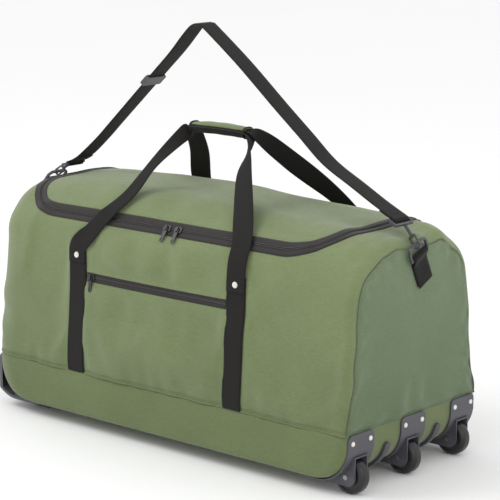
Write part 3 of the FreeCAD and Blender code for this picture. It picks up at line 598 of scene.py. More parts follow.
def snapped_shell(name, on_lid):
    """Makes the part of the shell on one side of the zip, its rim drawn onto the zip's line."""
    xs = np.linspace(-HALF_LENGTH, HALF_LENGTH, 323)
    ss = np.linspace(-S_EDGE, S_EDGE, 341)
    back = int(np.argmin(np.abs(ss - LID_BACK)))
    ss[back] = LID_BACK
    gx, gs = np.meshgrid(xs, ss, indexing="ij")
    middle_x = (gx[:-1, :-1] + gx[1:, 1:]) / 2
    middle_s = (gs[:-1, :-1] + gs[1:, 1:]) / 2
    inside = (lid_distance(middle_x, middle_s) < 0) & (middle_s < LID_BACK)
    wanted = inside if on_lid else ~inside
    distance = lid_distance(gx, gs)
    rim = corners_of(inside) & corners_of(~inside) & (gs < LID_BACK - 1 * MM)
    step = 0.5 * MM
    slope_x = (lid_distance(gx + step, gs) - lid_distance(gx - step, gs)) / (2 * step)
    slope_s = (lid_distance(gx, gs + step) - lid_distance(gx, gs - step)) / (2 * step)
    gap = -0.4 * MM if on_lid else 0.4 * MM
    gx = np.where(rim, gx - slope_x * (distance - gap), gx)
    gs = np.where(rim, gs - slope_s * (distance - gap), gs)
    points, _ = surface(gx, gs)
    uvs = np.stack([gx, gs], axis=-1).reshape(-1, 2)
    obj = new_object(name, points.reshape(-1, 3), grid_faces(len(xs), len(ss), lambda i, j: wanted[i, j]),
                     uvs, GREEN)
    drop_loose(obj)
    return thicken(obj, 2.2 * MM)


main_shell = snapped_shell("bag_sleeve", False)
attach(main_shell, "bag", "main_panel")

flap = snapped_shell("flap_cloth", True)
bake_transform(flap)
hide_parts("lid_panel")


# ---------------------------------------------------------------- end panels
def end_panel(name, sign, node):
    """Makes an arched end wall: drawn in at its seam, softly bulged, with puckers."""
    rings = 46
    ss = np.linspace(-S_EDGE, S_EDGE, 301)
    rim, _ = surface(np.full_like(ss, sign * HALF_LENGTH), ss)
    floor_y = np.linspace(rim[-1, 1], rim[0, 1], 100)[1:-1]
    floor = np.stack([np.full_like(floor_y, sign * HALF_LENGTH), floor_y,
                      np.full_like(floor_y, SEAM_Z)], axis=-1)
    loop = np.concatenate([rim, floor])
    middle = np.array([sign * HALF_LENGTH, 0.0, SEAM_Z + 0.42 * (CROWN_Z - SEAM_Z)])
    points = []
    for k in range(rings):
        f = 1.0 - k / (rings - 1)
        ring = middle + (loop - middle) * f
        y, z = ring[:, 1], ring[:, 2]
        room = (1 - f ** 2)
        wave = 2.2 * np.sin(y * 19.0 + 2.0 * np.sin(z * 15.0))
        wave *= np.sin(z * 17.0 + 1.0 + 2.0 * np.sin(y * 11.0))
        pucker = 1.5 * bell(f, 0.93, 0.06) * np.sin(np.arange(len(loop)) * 0.33 + 3.0 * np.sin(z * 21.0))
        low = bell(z, SEAM_Z + 0.02, 0.03) * 1.5 * np.sin(y * 70.0 + 3.0 * np.sin(y * 25.0))
        bulge = 6.0 * room + (wave + low) * min(1.0, room * 3) + pucker
        bulge -= 3.0 * bell(f, 0.985, 0.012)
        bulge *= 1 - 0.92 * smooth_step(0.27, 0.3, z) * bell(y, 0.008, 0.055)
        ring = ring.copy()
        ring[:, 0] = sign * HALF_LENGTH + sign * bulge * MM
        points.append(ring)
    points = np.array(points)
    uvs = points[..., 1:3].reshape(-1, 2)
    faces = grid_faces(rings, len(loop), wrap=True)
    if sign < 0:
        faces = [f[::-1] for f in faces]
    # The wheel end takes the painted-shade copy of the nylon; the far end takes the plain one.
    obj = new_object(name, points.reshape(-1, 3), faces, uvs, SHADED_END_GREEN if sign > 0 else GREEN)
    thicken(obj, 2.2 * MM)
    attach(obj, "bag", node)
    return loop


wheel_rim = end_panel("wheel_end_cloth", 1, "wheel_end_panel")
far_rim = end_panel("far_end_cloth", -1, "far_end_panel")


# ---------------------------------------------------------------- stiff base section
TUB_CORNER = 60 * MM
TUB_EDGE = 11 * MM
TUB_SIDE = 10 * MM
HUB_BOXES = [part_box("wheel_hub_" + place) for place in ("front", "middle", "rear")]
WELL_START = HUB_BOXES[0][0].x - 14 * MM
WELL_TOP = 58 * MM
WELL_SIDES = [(low.y - 3 * MM, high.y + 3 * MM) for low, high in HUB_BOXES]


def base_section():
    """Makes the base as upright rings, rounded under both ends, with a rolled lower edge."""
    drop = np.concatenate([np.linspace(0, SEAM_Z - tub_low.z - 14 * MM, 26),
                           SEAM_Z - tub_low.z - 14 * MM * np.cos(np.linspace(0.2, math.pi / 2, 12))])
    heights = SEAM_Z - drop
    count = 540
    rings = []
    for z in heights:
        up = z - tub_low.z
        under = max(0.0, TUB_CORNER - up)
        end_in = TUB_CORNER - math.sqrt(max(0.0, TUB_CORNER ** 2 - under ** 2))
        edge_in = TUB_EDGE - math.sqrt(max(0.0, TUB_EDGE ** 2 - max(0.0, TUB_EDGE - up) ** 2))
        puff = 1.5 * MM * math.sin(math.pi * min(1.0, up / (SEAM_Z - tub_low.z)))
        half_x = HALF_LENGTH - end_in - 0.6 * MM
        half_y = HALF_DEPTH - edge_in + puff - 0.5 * MM
        corner = TUB_SIDE + 12 * MM * min(1.0, max(0.0, under / TUB_CORNER))
        ring = np.array(rounded_ring(half_x, half_y, corner, count, z))
        rounder = np.array(rounded_ring(half_x, half_y, FAR_RADIUS, count, z))
        share = smooth_step(0.1, -0.1, ring[:, :1])
        rings.append(ring * (1 - share) + rounder * share)
    points = np.array(rings)
    x, y, z = points[..., 0], points[..., 1], points[..., 2]
    tall = smooth_step(tub_low.z, tub_low.z + 0.03, z)
    front = smooth_step(0.12, 0.17, np.abs(y))
    wave = 1.1 * np.sin(x * 23.0 + 3.0 * np.sin(x * 9.0)) * np.sin(z * 60.0 + x * 5.0)
    points[..., 1] += np.sign(y) * front * tall * wave * MM
    seam = bell(z, SEAM_Z, 0.004)
    points[..., 1] -= np.sign(y) * seam * front * 1.8 * MM
    girth = run_lengths(points[0])
    uvs = np.stack(np.meshgrid(girth, heights), axis=-1)

    def shown(i, j):
        px, py, pz = points[i, j]
        return not (px > WELL_START and pz < WELL_TOP and any(low < py < high for low, high in WELL_SIDES))

    faces = grid_faces(len(rings), count, shown, wrap=True)
    faces = [f[::-1] for f in faces]
    obj = new_object("base_cloth", points.reshape(-1, 3), faces, uvs.reshape(-1, 2), SHADED_BASE_GREEN)
    drop_loose(obj)
    return thicken(obj, 2.4 * MM)


def rounded_ring(half_x, half_y, corner, count, z):
    """Lists count points, evenly spaced, round a rectangle with rounded corners."""
    straight_x, straight_y = 2 * (half_x - corner), 2 * (half_y - corner)
    arc = corner * math.pi / 2
    total = 2 * (straight_x + straight_y) + 4 * arc
    ring = []
    for k in range(count):
        d = total * k / count
        for side in range(4):
            run = straight_x if side % 2 == 0 else straight_y
            if d <= run + arc or side == 3:
                break
            d -= run + arc
        if d <= run:
            u, v = -run / 2 + d, corner
        else:
            turn = (d - run) / corner
            u, v = run / 2 + corner * math.sin(turn), corner * math.cos(turn)
        reach = (half_y if side % 2 == 0 else half_x) - corner
        out = reach + v
        x, y = ((u, -out), (out, u), (-u, out), (-out, -u))[side]
        ring.append((x, y, z))
    return ring


base = base_section()
attach(base, "bag", "base_tub")


def base_floor():
    """Makes the base's flat underside, a little hollow between its edges."""
    rows, columns = 30, 60
    half_x = HALF_LENGTH - TUB_CORNER - 0.6 * MM
    half_y = HALF_DEPTH - TUB_EDGE - 0.2 * MM
    points, uvs = [], []
    for v in np.linspace(-1, 1, rows):
        for u in np.linspace(-1, 1, columns):
            hollow = 1.5 * MM * (1 - u * u) * (1 - v * v)
            narrow = 1 - 0.12 * smooth_step(-0.8, -1.0, u)
            points.append((u * half_x, v * half_y * narrow, tub_low.z + 0.1 * MM + hollow))
            uvs.append((u * half_x, v * half_y))

    def shown(i, j):
        return points[i * columns + j][0] < WELL_START - 6 * MM

    faces = [f[::-1] for f in grid_faces(rows, columns, shown)]
    obj = new_object("base_underside", points, faces, uvs, SHADED_BASE_GREEN)
    attach(obj, "bag")


base_floor()


# ---------------------------------------------------------------- ribbons, piping and stitches
def smooth_path(points, per_span=10):
    """Makes a Catmull-Rom curve through rows of numbers."""
    rows = np.array(points, dtype=float)
    rows = np.vstack([2 * rows[0] - rows[1], rows, 2 * rows[-1] - rows[-2]])
    out = []
    for k in range(1, len(rows) - 2):
        a, b, c, d = rows[k - 1], rows[k], rows[k + 1], rows[k + 2]
        for t in np.linspace(0, 1, per_span, endpoint=False):
            out.append(0.5 * ((2 * b) + (c - a) * t + (2 * a - 5 * b + 4 * c - d) * t * t
                              + (3 * b - a - 3 * c + d) * t ** 3))
    out.append(rows[-2])
    return np.array(out)


def ribbon(name, centre, across, up, width, thickness, material):
    """Makes webbing along centre: a flat lens with rolled edges and its own cloth coordinates."""
    half = width / 2
    ring = []
    for k in range(9):
        u = -1 + 2 * k / 8
        ring.append((u * half * 0.98, thickness * (0.5 - 0.12 * abs(u) ** 6)))
    ring.append((half, 0.0))
    ring += [(u, -v) for u, v in reversed(ring[:-1])]
    ring.append((-half, 0.0))
    centre, across, up = np.asarray(centre), np.asarray(across), np.asarray(up)
    lengths = run_lengths(centre)
    points = np.array([[c + a * u + n * v for u, v in ring] for c, a, n in zip(centre, across, up)])
    uvs = np.array([[(u, l) for u, _ in ring] for l in lengths])
    faces = grid_faces(len(centre), len(ring), wrap=True)
    obj = new_object(name, points.reshape(-1, 3), faces, uvs.reshape(-1, 2), material)
    mesh = bmesh.new()
    mesh.from_mesh(obj.data)
    mesh.verts.ensure_lookup_table()
    last = (len(centre) - 1) * len(ring)
    layer = mesh.loops.layers.uv["Cloth"]
    for start in (0, last):
        cap = mesh.faces.new([mesh.verts[start + k] for k in range(len(ring))])
        for loop in cap.loops:
            loop[layer].uv = loop.vert.co.xz
    bmesh.ops.recalc_face_normals(mesh, faces=mesh.faces)
    mesh.to_mesh(obj.data)
    mesh.free()
    return obj


def surface_strip(name, xs, ss, side_x, side_s, width, proud, thickness, material):
    """Lays a ribbon on the shell along (xs, ss); side_x and side_s point across it."""
    centre, normal = surface(xs, ss, proud)
    shift = 2 * MM
    beside, _ = surface(xs + side_x * shift, ss + side_s * shift, proud)
    across = beside - centre
    across /= np.linalg.norm(across, axis=-1, keepdims=True)
    return ribbon(name, centre, across, normal, width, thickness, material)


def stitches(name, centre, up, body, along=None, length=3.2 * MM, thick=0.45 * MM, pitch=4.4 * MM,
             material=DARK_THREAD):
    """Sews a row of rounded thread stitches along centre, which it follows unless along says otherwise."""
    centre = np.asarray(centre)
    along = tangents(centre) if along is None else along
    lengths = run_lengths(centre)
    points, faces, uvs = [], [], []
    for start in np.arange(pitch / 2, lengths[-1] - length, pitch):
        middle = start + length / 2
        c = np.array([np.interp(middle, lengths, centre[:, k]) for k in range(3)])
        t = np.array([np.interp(middle, lengths, along[:, k]) for k in range(3)])
        n = np.array([np.interp(middle, lengths, up[:, k]) for k in range(3)])
        b = np.cross(t, n)
        base_index = len(points)
        for f, r in ((-0.5, 0.25), (-0.32, 0.9), (0.0, 1.0), (0.32, 0.9), (0.5, 0.25)):
            lift = 1.0 - 3.0 * f * f
            for q in range(6):
                angle = q * math.pi / 3
                offset = b * math.cos(angle) + n * (math.sin(angle) + 0.4 * lift)
                points.append(c + t * (f * length) + offset * thick * r)
                uvs.append((f * length, q * thick))
        for i in range(4):
            for j in range(6):
                k = (j + 1) % 6
                faces.append((base_index + i * 6 + j, base_index + i * 6 + k,
                              base_index + (i + 1) * 6 + k, base_index + (i + 1) * 6 + j))
        faces.append(tuple(base_index + j for j in reversed(range(6))))
        faces.append(tuple(base_index + 24 + j for j in range(6)))
    attach(new_object(name, points, faces, uvs, material), body)


def unit(rows):
    rows = np.asarray(rows, dtype=float)
    return rows / np.maximum(np.linalg.norm(rows, axis=-1, keepdims=True), 1e-12)


def tangents(centre):
    return unit(np.gradient(np.asarray(centre), axis=0))


def cord_along(name, centre, radius, material, body, sides=10):
    """Makes a round cord, such as piping, through the points of centre."""
    centre = np.asarray(centre)
    t = tangents(centre)
    guide = np.where(np.abs(t[:, 2:3]) > 0.9, np.array([[1.0, 0, 0]]), np.array([[0, 0, 1.0]]))
    a = unit(np.cross(t, guide))
    b = np.cross(t, a)
    lengths = run_lengths(centre)
    points, uvs = [], []
    for k in range(len(centre)):
        for q in range(sides):
            angle = 2 * math.pi * q / sides
            points.append(centre[k] + (a[k] * math.cos(angle) + b[k] * math.sin(angle)) * radius)
            uvs.append((lengths[k], q * radius))
    faces = grid_faces(len(centre), sides, wrap=True)
    attach(new_object(name, points, faces, uvs, material), body)


# ---------------------------------------------------------------- main zip
def zip_tape(name, line, near, far, proud, body_setup, node):
    """Lays one side's tape beside the zip's line, from near to far metres away from it."""
    steps = np.linspace(near, far, 9)
    rows, uvs = [], []
    run = run_lengths(line[:, :2])
    for d in steps:
        edge = min(abs(d - near), abs(far - d)) / abs(far - near)
        rise = proud * (0.55 + 0.45 * min(1.0, 6 * edge))
        place, _ = surface(line[:, 0] + line[:, 2] * d, line[:, 1] + line[:, 3] * d, rise)
        rows.append(place)
        uvs.append(np.stack([np.full_like(run, d), run], axis=-1))
    faces = grid_faces(len(steps), len(line))
    if far < near:
        faces = [f[::-1] for f in faces]
    obj = new_object(name, np.array(rows).reshape(-1, 3), faces, np.array(uvs).reshape(-1, 2), ZIP_TAPE)
    thicken(obj, 0.8 * MM)
    body_setup(obj)
    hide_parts(node)
    return obj


def coil(name, centre, across, up, body_setup):
    """Makes one side of a zip's coil: a row of close, rounded teeth."""
    centre = np.asarray(centre)
    lengths = run_lengths(centre)
    pitch = 1.0 * MM
    spots = np.arange(0, lengths[-1], pitch / 2)
    c = np.stack([np.interp(spots, lengths, centre[:, k]) for k in range(3)], axis=-1)
    a = unit(np.stack([np.interp(spots, lengths, across[:, k]) for k in range(3)], axis=-1))
    n = unit(np.stack([np.interp(spots, lengths, up[:, k]) for k in range(3)], axis=-1))
    size = np.where(np.arange(len(spots)) % 2 == 0, 1.0, 0.62)[:, None]
    ring = [(-1.0, 0.0), (-0.75, 0.75), (0.0, 1.0), (0.75, 0.75), (1.0, 0.0), (0.0, -0.4)]
    points = np.stack([c + (a * u * 1.3 + n * v * 1.0) * MM * size for u, v in ring], axis=1)
    uvs = np.array([[(u * MM, l) for u, _ in ring] for l in spots])
    obj = new_object(name, points.reshape(-1, 3), grid_faces(len(spots), len(ring), wrap=True),
                     uvs.reshape(-1, 2), COIL)
    body_setup(obj)
    return obj


def on_bag(obj):
    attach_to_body(obj, "bag")


def on_flap(obj):
    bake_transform(obj)


def along_shell(line, offset, proud):
    """Gives points beside the zip's line with the direction across it and the normal."""
    x, s = line[:, 0] + line[:, 2] * offset, line[:, 1] + line[:, 3] * offset
    place, normal = surface(x, s, proud)
    beside, _ = surface(x + line[:, 2] * 2 * MM, s + line[:, 3] * 2 * MM, proud)
    return place, unit(beside - place), normal


ZIP_LINE = zip_line(900)
TAPE_WIDTH = 13 * MM
zip_tape("zip_tape_bag_side", ZIP_LINE, 0.5 * MM, TAPE_WIDTH, 1.3 * MM, on_bag, "main_zip_tape")
zip_tape("zip_tape_flap_side", ZIP_LINE, -0.5 * MM, -TAPE_WIDTH, 1.3 * MM, on_flap, "lid_zip_tape")
for label, offset, setup in (("bag", 1.4 * MM, on_bag), ("flap", -1.4 * MM, on_flap)):
    place, across, normal = along_shell(ZIP_LINE, offset, 1.6 * MM)
    coil("zip_coil_" + label, place, across, normal, setup)
place, across, normal = along_shell(ZIP_LINE, TAPE_WIDTH - 2 * MM, 1.2 * MM)
stitches("zip_stitches_bag", place, normal, "bag")


# ---------------------------------------------------------------- front pocket
POCKET_X = np.linspace(pocket_low.x - 1 * MM, pocket_high.x + 1 * MM, 150)


def pocket_row(offset):
    """Lists the line that runs beside the pocket's zip, offset metres down the wall."""
    return np.stack([POCKET_X, np.full_like(POCKET_X, POCKET_S - offset),
                     np.zeros_like(POCKET_X), np.full_like(POCKET_X, -1.0)], axis=-1)


zip_tape("pocket_tape", pocket_row(0), -8.5 * MM, 8.5 * MM, 1.2 * MM, on_bag, "pocket_zip_tape")
for label, offset in (("upper", -0.8 * MM), ("lower", 0.8 * MM)):
    place, across, normal = along_shell(pocket_row(0), offset, 1.5 * MM)
    coil("pocket_coil_" + label, place, across, normal, on_bag)
for label, offset in (("upper", -6.4 * MM), ("lower", 6.4 * MM)):
    place, across, normal = along_shell(pocket_row(0), offset, 1.1 * MM)
    stitches("pocket_stitches_" + label, place, normal, "bag")


def pocket_welt():
    """Makes the fold of cloth that shades the pocket's zip from above."""
    rows, uvs = [], []
    for d, rise in ((-15.0, -0.6), (-12.5, 1.4), (-10.5, 2.6), (-9.0, 3.0), (-7.6, 2.5), (-7.2, 1.5)):
        fade = 0.4 + 0.6 * smooth_step(0.0, 0.04, POCKET_X[-1] - np.abs(POCKET_X))
        place, _ = surface(POCKET_X, np.full_like(POCKET_X, POCKET_S - d * MM), rise * MM * fade)
        rows.append(place)
        uvs.append(np.stack([POCKET_X, np.full_like(POCKET_X, d * MM)], axis=-1))
    faces = [f[::-1] for f in grid_faces(len(rows), len(POCKET_X))]
    obj = new_object("pocket_welt", np.array(rows).reshape(-1, 3), faces, np.array(uvs).reshape(-1, 2), GREEN)
    attach(obj, "bag")


pocket_welt()


# ---------------------------------------------------------------- webbing sewn to the walls
RIVET_Z = 302 * MM
STRIP_TOP_Z = 315 * MM
WEB_THICK = 2.0 * MM


def edge_stitches(name, centre, across, up, half, body):
    """Sews a row near each edge of a ribbon."""
    for label, side in (("a", -1.0), ("b", 1.0)):
        line = centre + across * (side * (half - 3.0 * MM)) + up * (WEB_THICK / 2 - 0.1 * MM)
        stitches(name + "_" + label, line, up, body)


strips = {}
for face, sign in (("front", -1), ("rear", 1)):
    for hand, side in (("left", -1), ("right", 1)):
        s = sign * np.linspace(S_EDGE - 1 * MM, wall_s(STRIP_TOP_Z), 80)
        x = np.full_like(s, side * STRAP_X)
        strip = surface_strip("%s_%s_strip" % (face, hand), x, s, 1.0, 0.0, WEBBING_WIDTH - 1 * MM, 1.3 * MM,
                              WEB_THICK, WEBBING)
        attach(strip, "bag", "%s_%s_webbing" % (face, hand))
        centre, normal = surface(x, s, 1.3 * MM)
        beside, _ = surface(x + 2 * MM, s, 1.3 * MM)
        across = unit(beside - centre)
        edge_stitches("%s_%s_sewing" % (face, hand), centre, across, normal, WEBBING_WIDTH / 2, "bag")
        spot, out = surface(side * STRAP_X, sign * wall_s(RIVET_Z), 1.3 * MM)
        strips[face, hand] = (spot, out)


def domed_rivet(name, spot, out, radius, rise, material):
    """Turns a shallow dome with a rolled flange, standing on out."""
    profile = [(0.0, rise), (0.45, rise * 0.96), (0.72, rise * 0.8), (0.9, rise * 0.5), (0.98, rise * 0.2),
               (1.0, -0.4 * MM)]
    out = np.asarray(out) / np.linalg.norm(out)
    a = unit(np.cross(out, [1.0, 0.3, 0.2]))
    b = np.cross(out, a)
    points, uvs = [], []
    for r, h in profile:
        for k in range(28):
            angle = 2 * math.pi * k / 28
            away = a * math.cos(angle) + b * math.sin(angle)
            points.append(spot + away * radius * max(r, 0.02) + out * h)
            uvs.append((r * radius * math.cos(angle), r * radius * math.sin(angle)))
    faces = [f[::-1] for f in grid_faces(len(profile), 28, wrap=True)] + [tuple(range(28))]
    return new_object(name, points, faces, uvs, material)


for (face, hand), (spot, out) in strips.items():
    name = "rivet_%s_%s" % (face, hand)
    rivet = domed_rivet(name, spot + out * (2 * WEB_THICK), out, 5.2 * MM, 1.6 * MM, RIVET)
    attach(rivet, "bag", "strap_rivets")


# ---------------------------------------------------------------- carry handles
def turning_ribbon(name, stations, thickness, material):
    """Makes webbing through stations (place, width direction, width), smoothly turned."""
    centre = smooth_path([st[0] for st in stations])
    widths = smooth_path([[st[2], 0.0, 0.0] for st in stations])[:, 0]
    across = unit(smooth_path([st[1] for st in stations]))
    run = tangents(centre)
    across = unit(across - run * np.sum(across * run, axis=-1, keepdims=True))
    up = unit(np.cross(run, across))
    half = len(centre)
    top = [(-1.0, 0.0), (-0.985, 0.32), (-0.9, 0.46), (-0.5, 0.5), (0.0, 0.5), (0.5, 0.5), (0.9, 0.46),
           (0.985, 0.32)]
    ring = top + [(-u, -v) for u, v in top]
    lengths = run_lengths(centre)
    points = np.stack([centre + across * (u * widths / 2)[:, None] + up * (v * thickness)
                       for u, v in ring], axis=1)
    uvs = np.array([[(u * w / 2, l) for u, _ in ring] for w, l in zip(widths, lengths)])
    faces = grid_faces(half, len(ring), wrap=True)
    faces.append(tuple(reversed(range(len(ring)))))
    faces.append(tuple((half - 1) * len(ring) + k for k in range(len(ring))))
    obj = new_object(name, points.reshape(-1, 3), faces, uvs.reshape(-1, 2), material)
    even_normals(obj)
    return obj, centre, across, up


GRIP_Z = (grip_low.z + grip_high.z) / 2
GRIP_HALF = grip_high.x


# Each leg's way up, by its shape: height, way inwards and stand-off on the crown; then x, y and z above it.
LEG_LOW = {-1: ((326, 9, 4.6), (340, 24, 5.4), (359, 41, 7.0), (377, 58, 9.0)),
           1: ((338, 0, 4.5), (366, 3, 7.0))}
LEG_HIGH = {-1: ((98, 112, 413), (79, 80, 457)), 1: ((148, 114, 408), (106, 64, 460))}


def handle_stations(sign, lift, turns):
    """Lists one loop: sewn end, up the wall, off the crown and into the grip, then down again.

    turns holds, for each leg, the width direction at the crown, half way and at the grip.
    """
    legs = []
    for side in (-1, 1):
        sideways = (1.0, 0.0, 0.0) if side < 0 or sign > 0 else (-1.0, 0.0, 0.0)
        leg = []
        for z in (290, 302, 314):
            place, _ = surface(side * STRAP_X, sign * wall_s(z * MM), 3.4 * MM)
            leg.append((place, sideways, 38 * MM))
        shape = side if sign < 0 else 1
        gathered = (36, 34, 31, 29) if shape < 0 else (38, 38)
        for (z, inward, off), width in zip(LEG_LOW[shape], gathered):
            s = sign * (FLAT_TOP + CROWN_RADIUS * math.acos((z * MM - CROWN_Z + CROWN_RADIUS) / CROWN_RADIUS))
            place, _ = surface(side * (STRAP_X - inward * MM), s, off * MM)
            leg.append((place, sideways, width * MM))
        upper = (29, 28) if shape < 0 else (37, 34)
        for (x, y, z), width, turn in zip(LEG_HIGH[shape], upper, turns[side]):
            leg.append(((side * x * MM, sign * y * MM, z * MM), turn, width * MM))
        entry = GRIP_HALF + (9 if shape < 0 else 15) * MM
        leg.append(((side * entry, sign * 17 * MM, GRIP_Z - 13 * MM + lift), turns[side][2], 27 * MM))
        for inside in (4, 34):
            place = (side * (GRIP_HALF - inside * MM), sign * 1 * MM, GRIP_Z + lift)
            leg.append((place, (0.0, 1.0, 0.0), 25 * MM))
        legs.append(leg)
    left, right = legs
    return left + right[::-1]


FRONT_TURNS = {-1: ((1.0, -0.1, 0.0), (1.0, -0.2, 0.0), (0.8, 0.8, 0.0)),
               1: ((-1.0, 0.05, 0.0), (-1.0, 0.35, 0.0), (-0.5, 1.0, 0.0))}
REAR_TURNS = {-1: ((1.0, 0.3, 0.0), (1.0, 0.5, 0.0), (0.5, 1.0, 0.0)),
              1: ((1.0, 0.3, 0.0), (1.0, 0.9, 0.0), (0.4, 1.0, 0.0))}
for face, sign, lift, turns in (("front", -1, -2.2 * MM, FRONT_TURNS), ("rear", 1, 2.2 * MM, REAR_TURNS)):
    loop = turning_ribbon(face + "_loop", handle_stations(sign, lift, turns), WEB_THICK, WEBBING)[0]
    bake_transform(loop)
    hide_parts(face + "_handle")


# ---------------------------------------------------------------- padded grip
def pad_section(angle, half_y, half_z):
    """Gives the grip's rounded section, a little flatter below than above."""
    c, s = np.cos(angle), np.sin(angle)
    return (half_y * np.sign(c) * np.abs(c) ** 0.72,
            half_z * np.sign(s) * np.abs(s) ** np.where(s > 0, 0.85, 0.7))


def grip_wrap():
    """Makes the wrap round both loops: green above, dark below, relaxed as a stuffed cloth tube."""
    rows, columns = 61, 64
    xs = np.linspace(-GRIP_HALF + 1.5 * MM, GRIP_HALF - 1.5 * MM, rows)
    angles = np.linspace(0, 2 * math.pi, columns, endpoint=False)
    points, uvs = [], []
    for x in xs:
        f = x / GRIP_HALF
        full = 0.95 - 0.13 * f ** 4 + 0.02 * math.sin(x * 160.0)
        y, z = pad_section(angles, 15.0 * MM * full, 10.3 * MM * full)
        bow = (0.6 - 2.6 * f * f) * MM
        ripple = 0.5 * MM * np.sin(x * 260.0 + 3.0 * np.sin(angles * 2)) * np.clip(np.cos(angles * 1.0), 0, 1)
        points.append(np.stack([np.full(columns, x), y + ripple * 0.4, z + GRIP_Z + bow], axis=-1))
        uvs.append(np.stack([np.full(columns, x), angles * 13 * MM], axis=-1))
    points = np.array(points)
    obj = new_object("grip_wrap", points.reshape(-1, 3), grid_faces(rows, columns, wrap=True),
                     np.array(uvs).reshape(-1, 2), GREEN)
    held = obj.vertex_groups.new(name="held")
    for i in range(rows):
        for j in range(columns):
            if i in (0, rows - 1) or abs(math.sin(angles[j] - 0.35)) < 0.1:
                held.add([i * columns + j], 1.0, "REPLACE")
    places = settle(obj, 12, 0.2, quality=5, mass=0.15, tension_stiffness=30, compression_stiffness=30,
                    bending_stiffness=0.4, uniform_pressure_force=0.6)
    points = points + cap_length(places.reshape(points.shape) - points, 0.8 * MM)
    obj.data.vertices.foreach_set("co", points.ravel())
    obj.data.update()
    obj.data.materials.append(BINDING)
    split = (math.radians(12), math.radians(168))
    dark = [0 if split[0] < (angles[k % columns] + math.pi / columns) < split[1] else 1
            for _ in range(rows - 1) for k in range(columns)]
    obj.data.polygons.foreach_set("material_index", dark)
    thicken(obj, 1.6 * MM, centre=(0.0, 0.0, GRIP_Z))
    attach(obj, "front_carry", "handle_grip")
    return points, angles


grip_points, grip_angles = grip_wrap()


def grip_binding():
    """Sews dark binding along the wrap's two long edges and round both ends."""
    centre_line = grip_points.mean(axis=1)
    for label, angle in (("front", math.radians(171)), ("rear", math.radians(9))):
        column = int(np.argmin(np.abs(grip_angles - angle)))
        line = grip_points[:, column]
        out = unit(line - centre_line)
        run = tangents(line)
        wide = unit(np.cross(run, out))
        edge = ribbon("grip_edge_" + label, line + out * 0.6 * MM, wide, out, 5.0 * MM, 1.2 * MM, BINDING)
        attach(edge, "front_carry")
        stitches("grip_sewing_" + label, line + out * 1.2 * MM + wide * 0.8 * MM, out, "front_carry",
                 along=run, length=2.2 * MM, pitch=3.2 * MM, thick=0.35 * MM, material=THREAD)
    for label, row, sign in (("left", 0, -1), ("right", -1, 1)):
        ring = grip_points[row]
        middle = ring.mean(axis=0)
        profile = [(0.0, 0.0), (0.9, 0.9), (0.5, 1.7), (-0.8, 1.9), (-2.4, 1.2), (-3.0, 0.2)]
        points, uvs = [], []
        for along, rise in profile:
            for k, spot in enumerate(ring):
                away = unit(spot - middle)
                points.append(spot + away * rise * MM + np.array([sign * along * MM, 0, 0]))
                uvs.append((k * 1.4 * MM, along * MM))
        faces = grid_faces(len(profile), len(ring), wrap=True)
        last = (len(profile) - 1) * len(ring)
        faces += [(last + j, last + (j + 1) % len(ring), (j + 1) % len(ring), j) for j in range(len(ring))]
        rim = new_object("grip_end_" + label, points, faces, uvs, BINDING)
        even_normals(rim)
        attach(rim, "front_carry")


grip_binding()


# ---------------------------------------------------------------- shoulder strap
strap_low, strap_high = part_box("shoulder_strap")
STRAP_Y = (strap_low.y + strap_high.y) / 2
# For each end: which way along X the strap leaves its frame, and how far the frame tips up.
FRAME_LEAN = {"far": (1, math.radians(12)), "wheel": (-1, math.radians(30))}
BAR_WRAP = ((0.0, 1.2), (2.7, 1.8), (3.7, 4.4), (3.8, 8.0))
STRAP_LINE = [(-318, 436), (-300, 448), (-264, 477.6), (-240, 499.5), (-223, 515), (-190, 545),
              (-158, 574.2), (-122, 607), (-88, 638), (-62, 665), (-46, 681), (-35, 687.4),
              (-24, 687.6), (-12, 681), (60, 628), (136, 566), (190, 523),
              (239, 484), (296, 454), (340, 431)]


def by_frame(end, rise, along):
    """Gives a point near a strap's frame: above its plane, and along it towards the strap."""
    low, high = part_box("strap_frame_" + end)
    way, lean = FRAME_LEAN[end]
    x = (low.x + high.x) / 2 + way * (along * math.cos(lean) - rise * math.sin(lean)) * MM
    z = (low.z + high.z) / 2 + (along * math.sin(lean) + rise * math.cos(lean)) * MM
    return x, STRAP_Y, z


def strap_stations():
    places = [by_frame("far", rise, along) for rise, along in BAR_WRAP]
    places += [(x * MM, STRAP_Y, z * MM) for x, z in STRAP_LINE]
    places += [by_frame("wheel", rise, along) for rise, along in reversed(BAR_WRAP)]
    stations = []
    for place in places:
        x = place[0]
        twist = 0.12 * bell(x, -0.305, 0.018) + 0.1 * bell(x, -0.07, 0.02)
        width = 38 - 2.0 * bell(x, -0.24, 0.06)
        stations.append((place, (twist, 1.0, twist * 0.5), width * MM))
    return stations


strap, strap_centre, strap_across, strap_up = turning_ribbon(
    "carry_strap_webbing", strap_stations(), WEB_THICK, WEBBING)
attach(strap, "carry_strap", "shoulder_strap")


